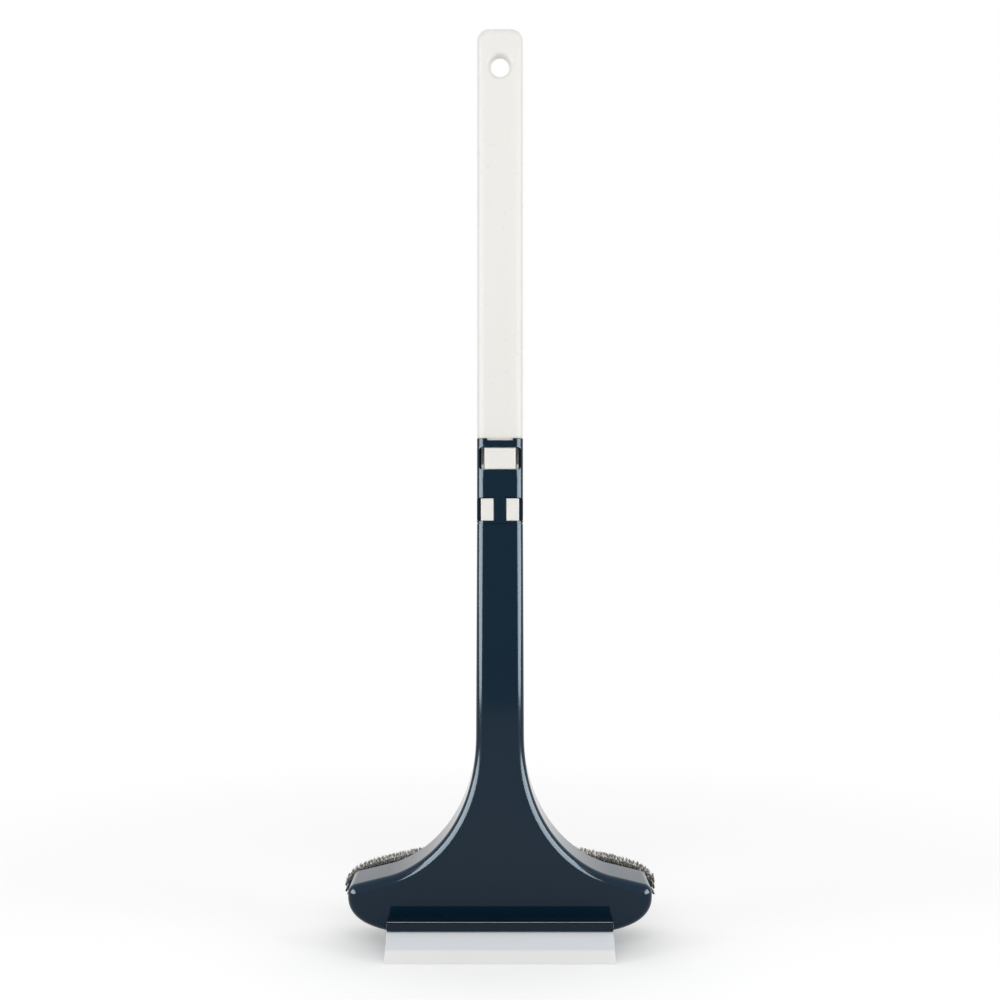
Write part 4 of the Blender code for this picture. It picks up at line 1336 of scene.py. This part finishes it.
@dataclass(frozen=True)
class SoftBox:
    """A rectangular lamp, with what it lights and what mirrors it."""

    name: str
    place: Place
    size: tuple[float, float]
    power: float
    aim: Place = (0.0, 0.0, 0.2)
    tint: Place = (1.0, 1.0, 1.0)
    roll: float = 0.0
    lights: bool = True  # whether rough surfaces get its light
    mirrored: bool = True  # whether glossy surfaces show it
    only: FinishName | None = None  # the one finish that it reaches, all if left out

    def receivers(self) -> Collection:
        """Gathers the pieces of the finish that the lamp reaches.

        Returns:
            The collection, which lamps for the same finish share.
        """
        name = f"only_{self.only.value}"
        gathered = bpy.data.collections.get(name)
        if not gathered:
            gathered = bpy.data.collections.new(name)
            for shape in bpy.context.scene.objects:
                if shape.type == "MESH" and self.only.value in shape.data.materials:
                    gathered.objects.link(shape)
        return gathered

    def build(self) -> None:
        """Sets the lamp up."""
        data = bpy.data.lights.new(self.name, "AREA")
        data.shape = "RECTANGLE"
        data.size, data.size_y = self.size
        data.energy = self.power
        data.color = self.tint
        lamp = bpy.data.objects.new(self.name, data)
        lamp.location = self.place
        away = Vector(self.place) - Vector(self.aim)
        lamp.rotation_euler = away.to_track_quat("Z", "Y").to_euler()
        if self.roll:
            lamp.rotation_euler.rotate_axis("Z", self.roll)
        bpy.context.scene.collection.objects.link(lamp)
        lamp.visible_diffuse = self.lights
        lamp.visible_glossy = self.mirrored
        if self.only:
            lamp.light_linking.receiver_collection = self.receivers()


@dataclass
class Studio:
    """A pale floor, a white room, soft lamps and the camera at the photograph's viewing angle."""

    frame_mm: float = 440.0
    distance: float = 0.650
    eye_height: float = 199.3 * MM
    front: float = -13.55 * MM
    sensor_mm: float = 36.0
    fill_front: float = 0.05
    fill_back: float = 1.2
    floor_half: float = 3.0
    floor_colour: str = "#f0f0f0"
    floor_roughness: float = 0.8
    floor_lift: float = 0.21  # added to the floor's white where it is seen
    near_floor: float = 0.1  # up to here the floor is paper
    far_floor: float = 0.5  # and from here on plain white
    side_place: Place = (1.0, -0.5, 0.5)
    side_size: tuple[float, float] = (0.3, 1.2)
    side_power: float = 2.5
    gloss_place: Place = (0.68, -0.49, 0.28)
    gloss_size: tuple[float, float] = (0.92, 0.68)
    gloss_roll: float = math.radians(20)
    gloss_power: float = 42.0
    gloss_tint: Place = (0.76, 0.9, 1.0)
    white_gloss_power: float = 3.5
    white_gloss_tint: Place = (1.0, 0.99, 0.98)
    card: tuple[float, float] = (0.14, 0.9)
    card_behind: float = 0.1
    card_grey: float = 0.45

    def camera(self) -> None:
        """Sets the camera level with the middle of the brush."""
        data = bpy.data.cameras.new("camera")
        data.sensor_width = self.sensor_mm
        data.lens = self.sensor_mm * self.distance / (self.frame_mm * MM)
        eye = bpy.data.objects.new("camera", data)
        eye.location = (0.0, self.front - self.distance, self.eye_height)
        eye.rotation_euler = (math.pi / 2, 0.0, 0.0)
        bpy.context.scene.collection.objects.link(eye)
        bpy.context.scene.camera = eye

    def seen_plainly(self, tree: NodeTree) -> NodeSocket:
        """Tells rays that show the background, also mirrored or through a piece, from all others.

        Args:
            tree: node tree of the background.

        Returns:
            A value of 1 for rays that show it and of 0 for the others.
        """
        path = add_node(tree, "ShaderNodeLightPath")
        seen = path.outputs["Is Camera Ray"]
        for other in ("Is Glossy Ray", "Is Transmission Ray"):
            seen = add_node(tree, "ShaderNodeMath", {"operation": "MAXIMUM"}, {
                0: seen, 1: path.outputs[other],
            }).outputs["Value"]
        return seen

    def mixed(self, tree: NodeTree, share: NodeSocket, first: NodeSocket,
              second: NodeSocket, output: str) -> None:
        """Shows one shader or the other.

        Args:
            tree: node tree of both.
            share: value from 0 for the first to 1 for the second.
            first: a shader.
            second: the other one.
            output: the tree's output node.
        """
        mix = add_node(tree, "ShaderNodeMixShader", {}, {0: share, 1: first, 2: second})
        tree.links.new(mix.outputs["Shader"], tree.nodes[output].inputs["Surface"])

    def world(self) -> None:
        """A room that is white to the eye and in reflections, with more fill from behind."""
        world = bpy.data.worlds.new("white_room")
        world.use_nodes = True
        bpy.context.scene.world = world
        tree = world.node_tree
        room = tree.nodes["Background"]
        room.inputs["Color"].default_value = WHITE_LIGHT
        place = add_node(tree, "ShaderNodeTexCoord")
        split = add_node(tree, "ShaderNodeSeparateXYZ", {}, {0: place.outputs["Generated"]})
        depth = add_node(tree, "ShaderNodeMapRange", {
            "From Min": -1.0, "From Max": 1.0, "To Min": self.fill_front, "To Max": self.fill_back,
        }, {"Value": split.outputs["Y"]})
        tree.links.new(depth.outputs["Result"], room.inputs["Strength"])
        white = add_node(tree, "ShaderNodeBackground", {"Color": WHITE_LIGHT, "Strength": 1.0})
        self.mixed(
            tree, self.seen_plainly(tree), room.outputs["Background"], white.outputs["Background"],
            "World Output",
        )

    def floor(self) -> None:
        """A wide pale floor under the blade's edge."""
        bm = bmesh.new()
        bmesh.ops.create_grid(bm, x_segments=2, y_segments=2, size=self.floor_half)
        floor = placed("floor", bm)
        floor.data.materials.append(self.floor_material())

    def floor_material(self) -> Material:
        """White paper that keeps the brush's shadow and runs out into plain white away from it.

        Returns:
            The material.
        """
        material, tree, shader = new_material("white_paper_floor")
        shader.inputs["Base Color"].default_value = linear(self.floor_colour)
        shader.inputs["Roughness"].default_value = self.floor_roughness
        shader.inputs["Specular IOR Level"].default_value = 0.0
        shader.inputs["Emission Color"].default_value = WHITE_LIGHT
        seen = self.seen_plainly(tree)
        lift = add_node(tree, "ShaderNodeMath", {
            "operation": "MULTIPLY", 1: self.floor_lift,
        }, {0: seen})
        tree.links.new(lift.outputs["Value"], shader.inputs["Emission Strength"])
        place = add_node(tree, "ShaderNodeTexCoord")
        away = add_node(tree, "ShaderNodeVectorMath", {"operation": "LENGTH"}, {
            0: place.outputs["Object"],
        })
        far = add_node(tree, "ShaderNodeMapRange", {
            "From Min": self.near_floor, "From Max": self.far_floor,
            "interpolation_type": "SMOOTHSTEP",
        }, {"Value": away.outputs["Value"]})
        plain = add_node(tree, "ShaderNodeMath", {"operation": "MULTIPLY"}, {
            0: seen, 1: far.outputs["Result"],
        })
        white = add_node(tree, "ShaderNodeEmission", {"Color": WHITE_LIGHT, "Strength": 1.0})
        self.mixed(
            tree, plain.outputs["Value"], shader.outputs["BSDF"], white.outputs["Emission"],
            "Material Output",
        )
        return material

    def grey_card(self) -> None:
        """Stands a grey card behind the camera, which the neck mirrors above the floor's edge."""
        half, height = self.card
        bm = bmesh.new()
        y = self.front - self.distance - self.card_behind
        corners = ((-half, 0.0), (half, 0.0), (half, height), (-half, height))
        bm.faces.new([bm.verts.new((x, y, z)) for x, z in corners])
        card = placed("grey_card", bm)
        material, tree, _shader = new_material("grey_card_paint")
        grey = add_node(tree, "ShaderNodeEmission", {
            "Color": WHITE_LIGHT, "Strength": self.card_grey,
        })
        tree.links.new(grey.outputs["Emission"], tree.nodes["Material Output"].inputs["Surface"])
        card.data.materials.append(material)
        for kind in ("camera", "diffuse", "transmission", "shadow"):
            setattr(card, f"visible_{kind}", False)

    def soft_boxes(self) -> list[SoftBox]:
        """Lists the lamps: for the room, for one finish, then the long highlights at both sides.

        Returns:
            The lamps, in the order in which they are set up.
        """
        side_x, side_y, side_z = self.side_place
        gloss_x, gloss_y, gloss_z = self.gloss_place
        boxes = [
            SoftBox(f"{name}_box", (side * side_x, side_y, side_z), self.side_size, self.side_power)
            for name, side in (("left", -1), ("right", 1))
        ] + [
            SoftBox("top_box", (0.0, 0.2, 1.5), (1.4, 0.9), 14.0, mirrored=False,
                    only=FinishName.NAVY),
            SoftBox("front_box", (0.0, -0.9, 0.6), (1.0, 0.6), 4.5, mirrored=False),
            SoftBox("lip_box", (0.0, -0.5, 0.9), (1.2, 0.2), 26.0, aim=(0.0, 0.0, 0.0),
                    lights=False, only=FinishName.SHADED_CHANNEL),
        ]
        for name, side in (("left", -1), ("right", 1)):
            for kind, power, tint, only in (
                ("gloss", self.gloss_power, self.gloss_tint, FinishName.NAVY),
                ("white", self.white_gloss_power, self.white_gloss_tint, FinishName.WHITE),
            ):
                boxes.append(SoftBox(
                    f"{name}_{kind}_box", (side * gloss_x, gloss_y, gloss_z), self.gloss_size,
                    power, aim=(0.0, 0.0, gloss_z), tint=tint, roll=side * self.gloss_roll,
                    lights=False, only=only,
                ))
        return boxes

    def build(self) -> None:
        """Sets up the whole studio."""
        self.camera()
        self.world()
        self.floor()
        self.grey_card()
        for box in self.soft_boxes():
            box.build()
        bpy.context.scene.view_settings.view_transform = "Standard"


def main() -> None:
    """Builds the brush and the studio in order."""
    logging.basicConfig(level=logging.INFO, format="%(name)s: %(message)s")
    palette = Palette()
    stem = Stem()
    for kind in (Handle, Coupling, Head, Squeegee, PileBrush):
        kind(stem, palette).dress()
        log.info("%s done", kind.__name__)
    Studio().build()


if __name__ == "__main__":
    main()
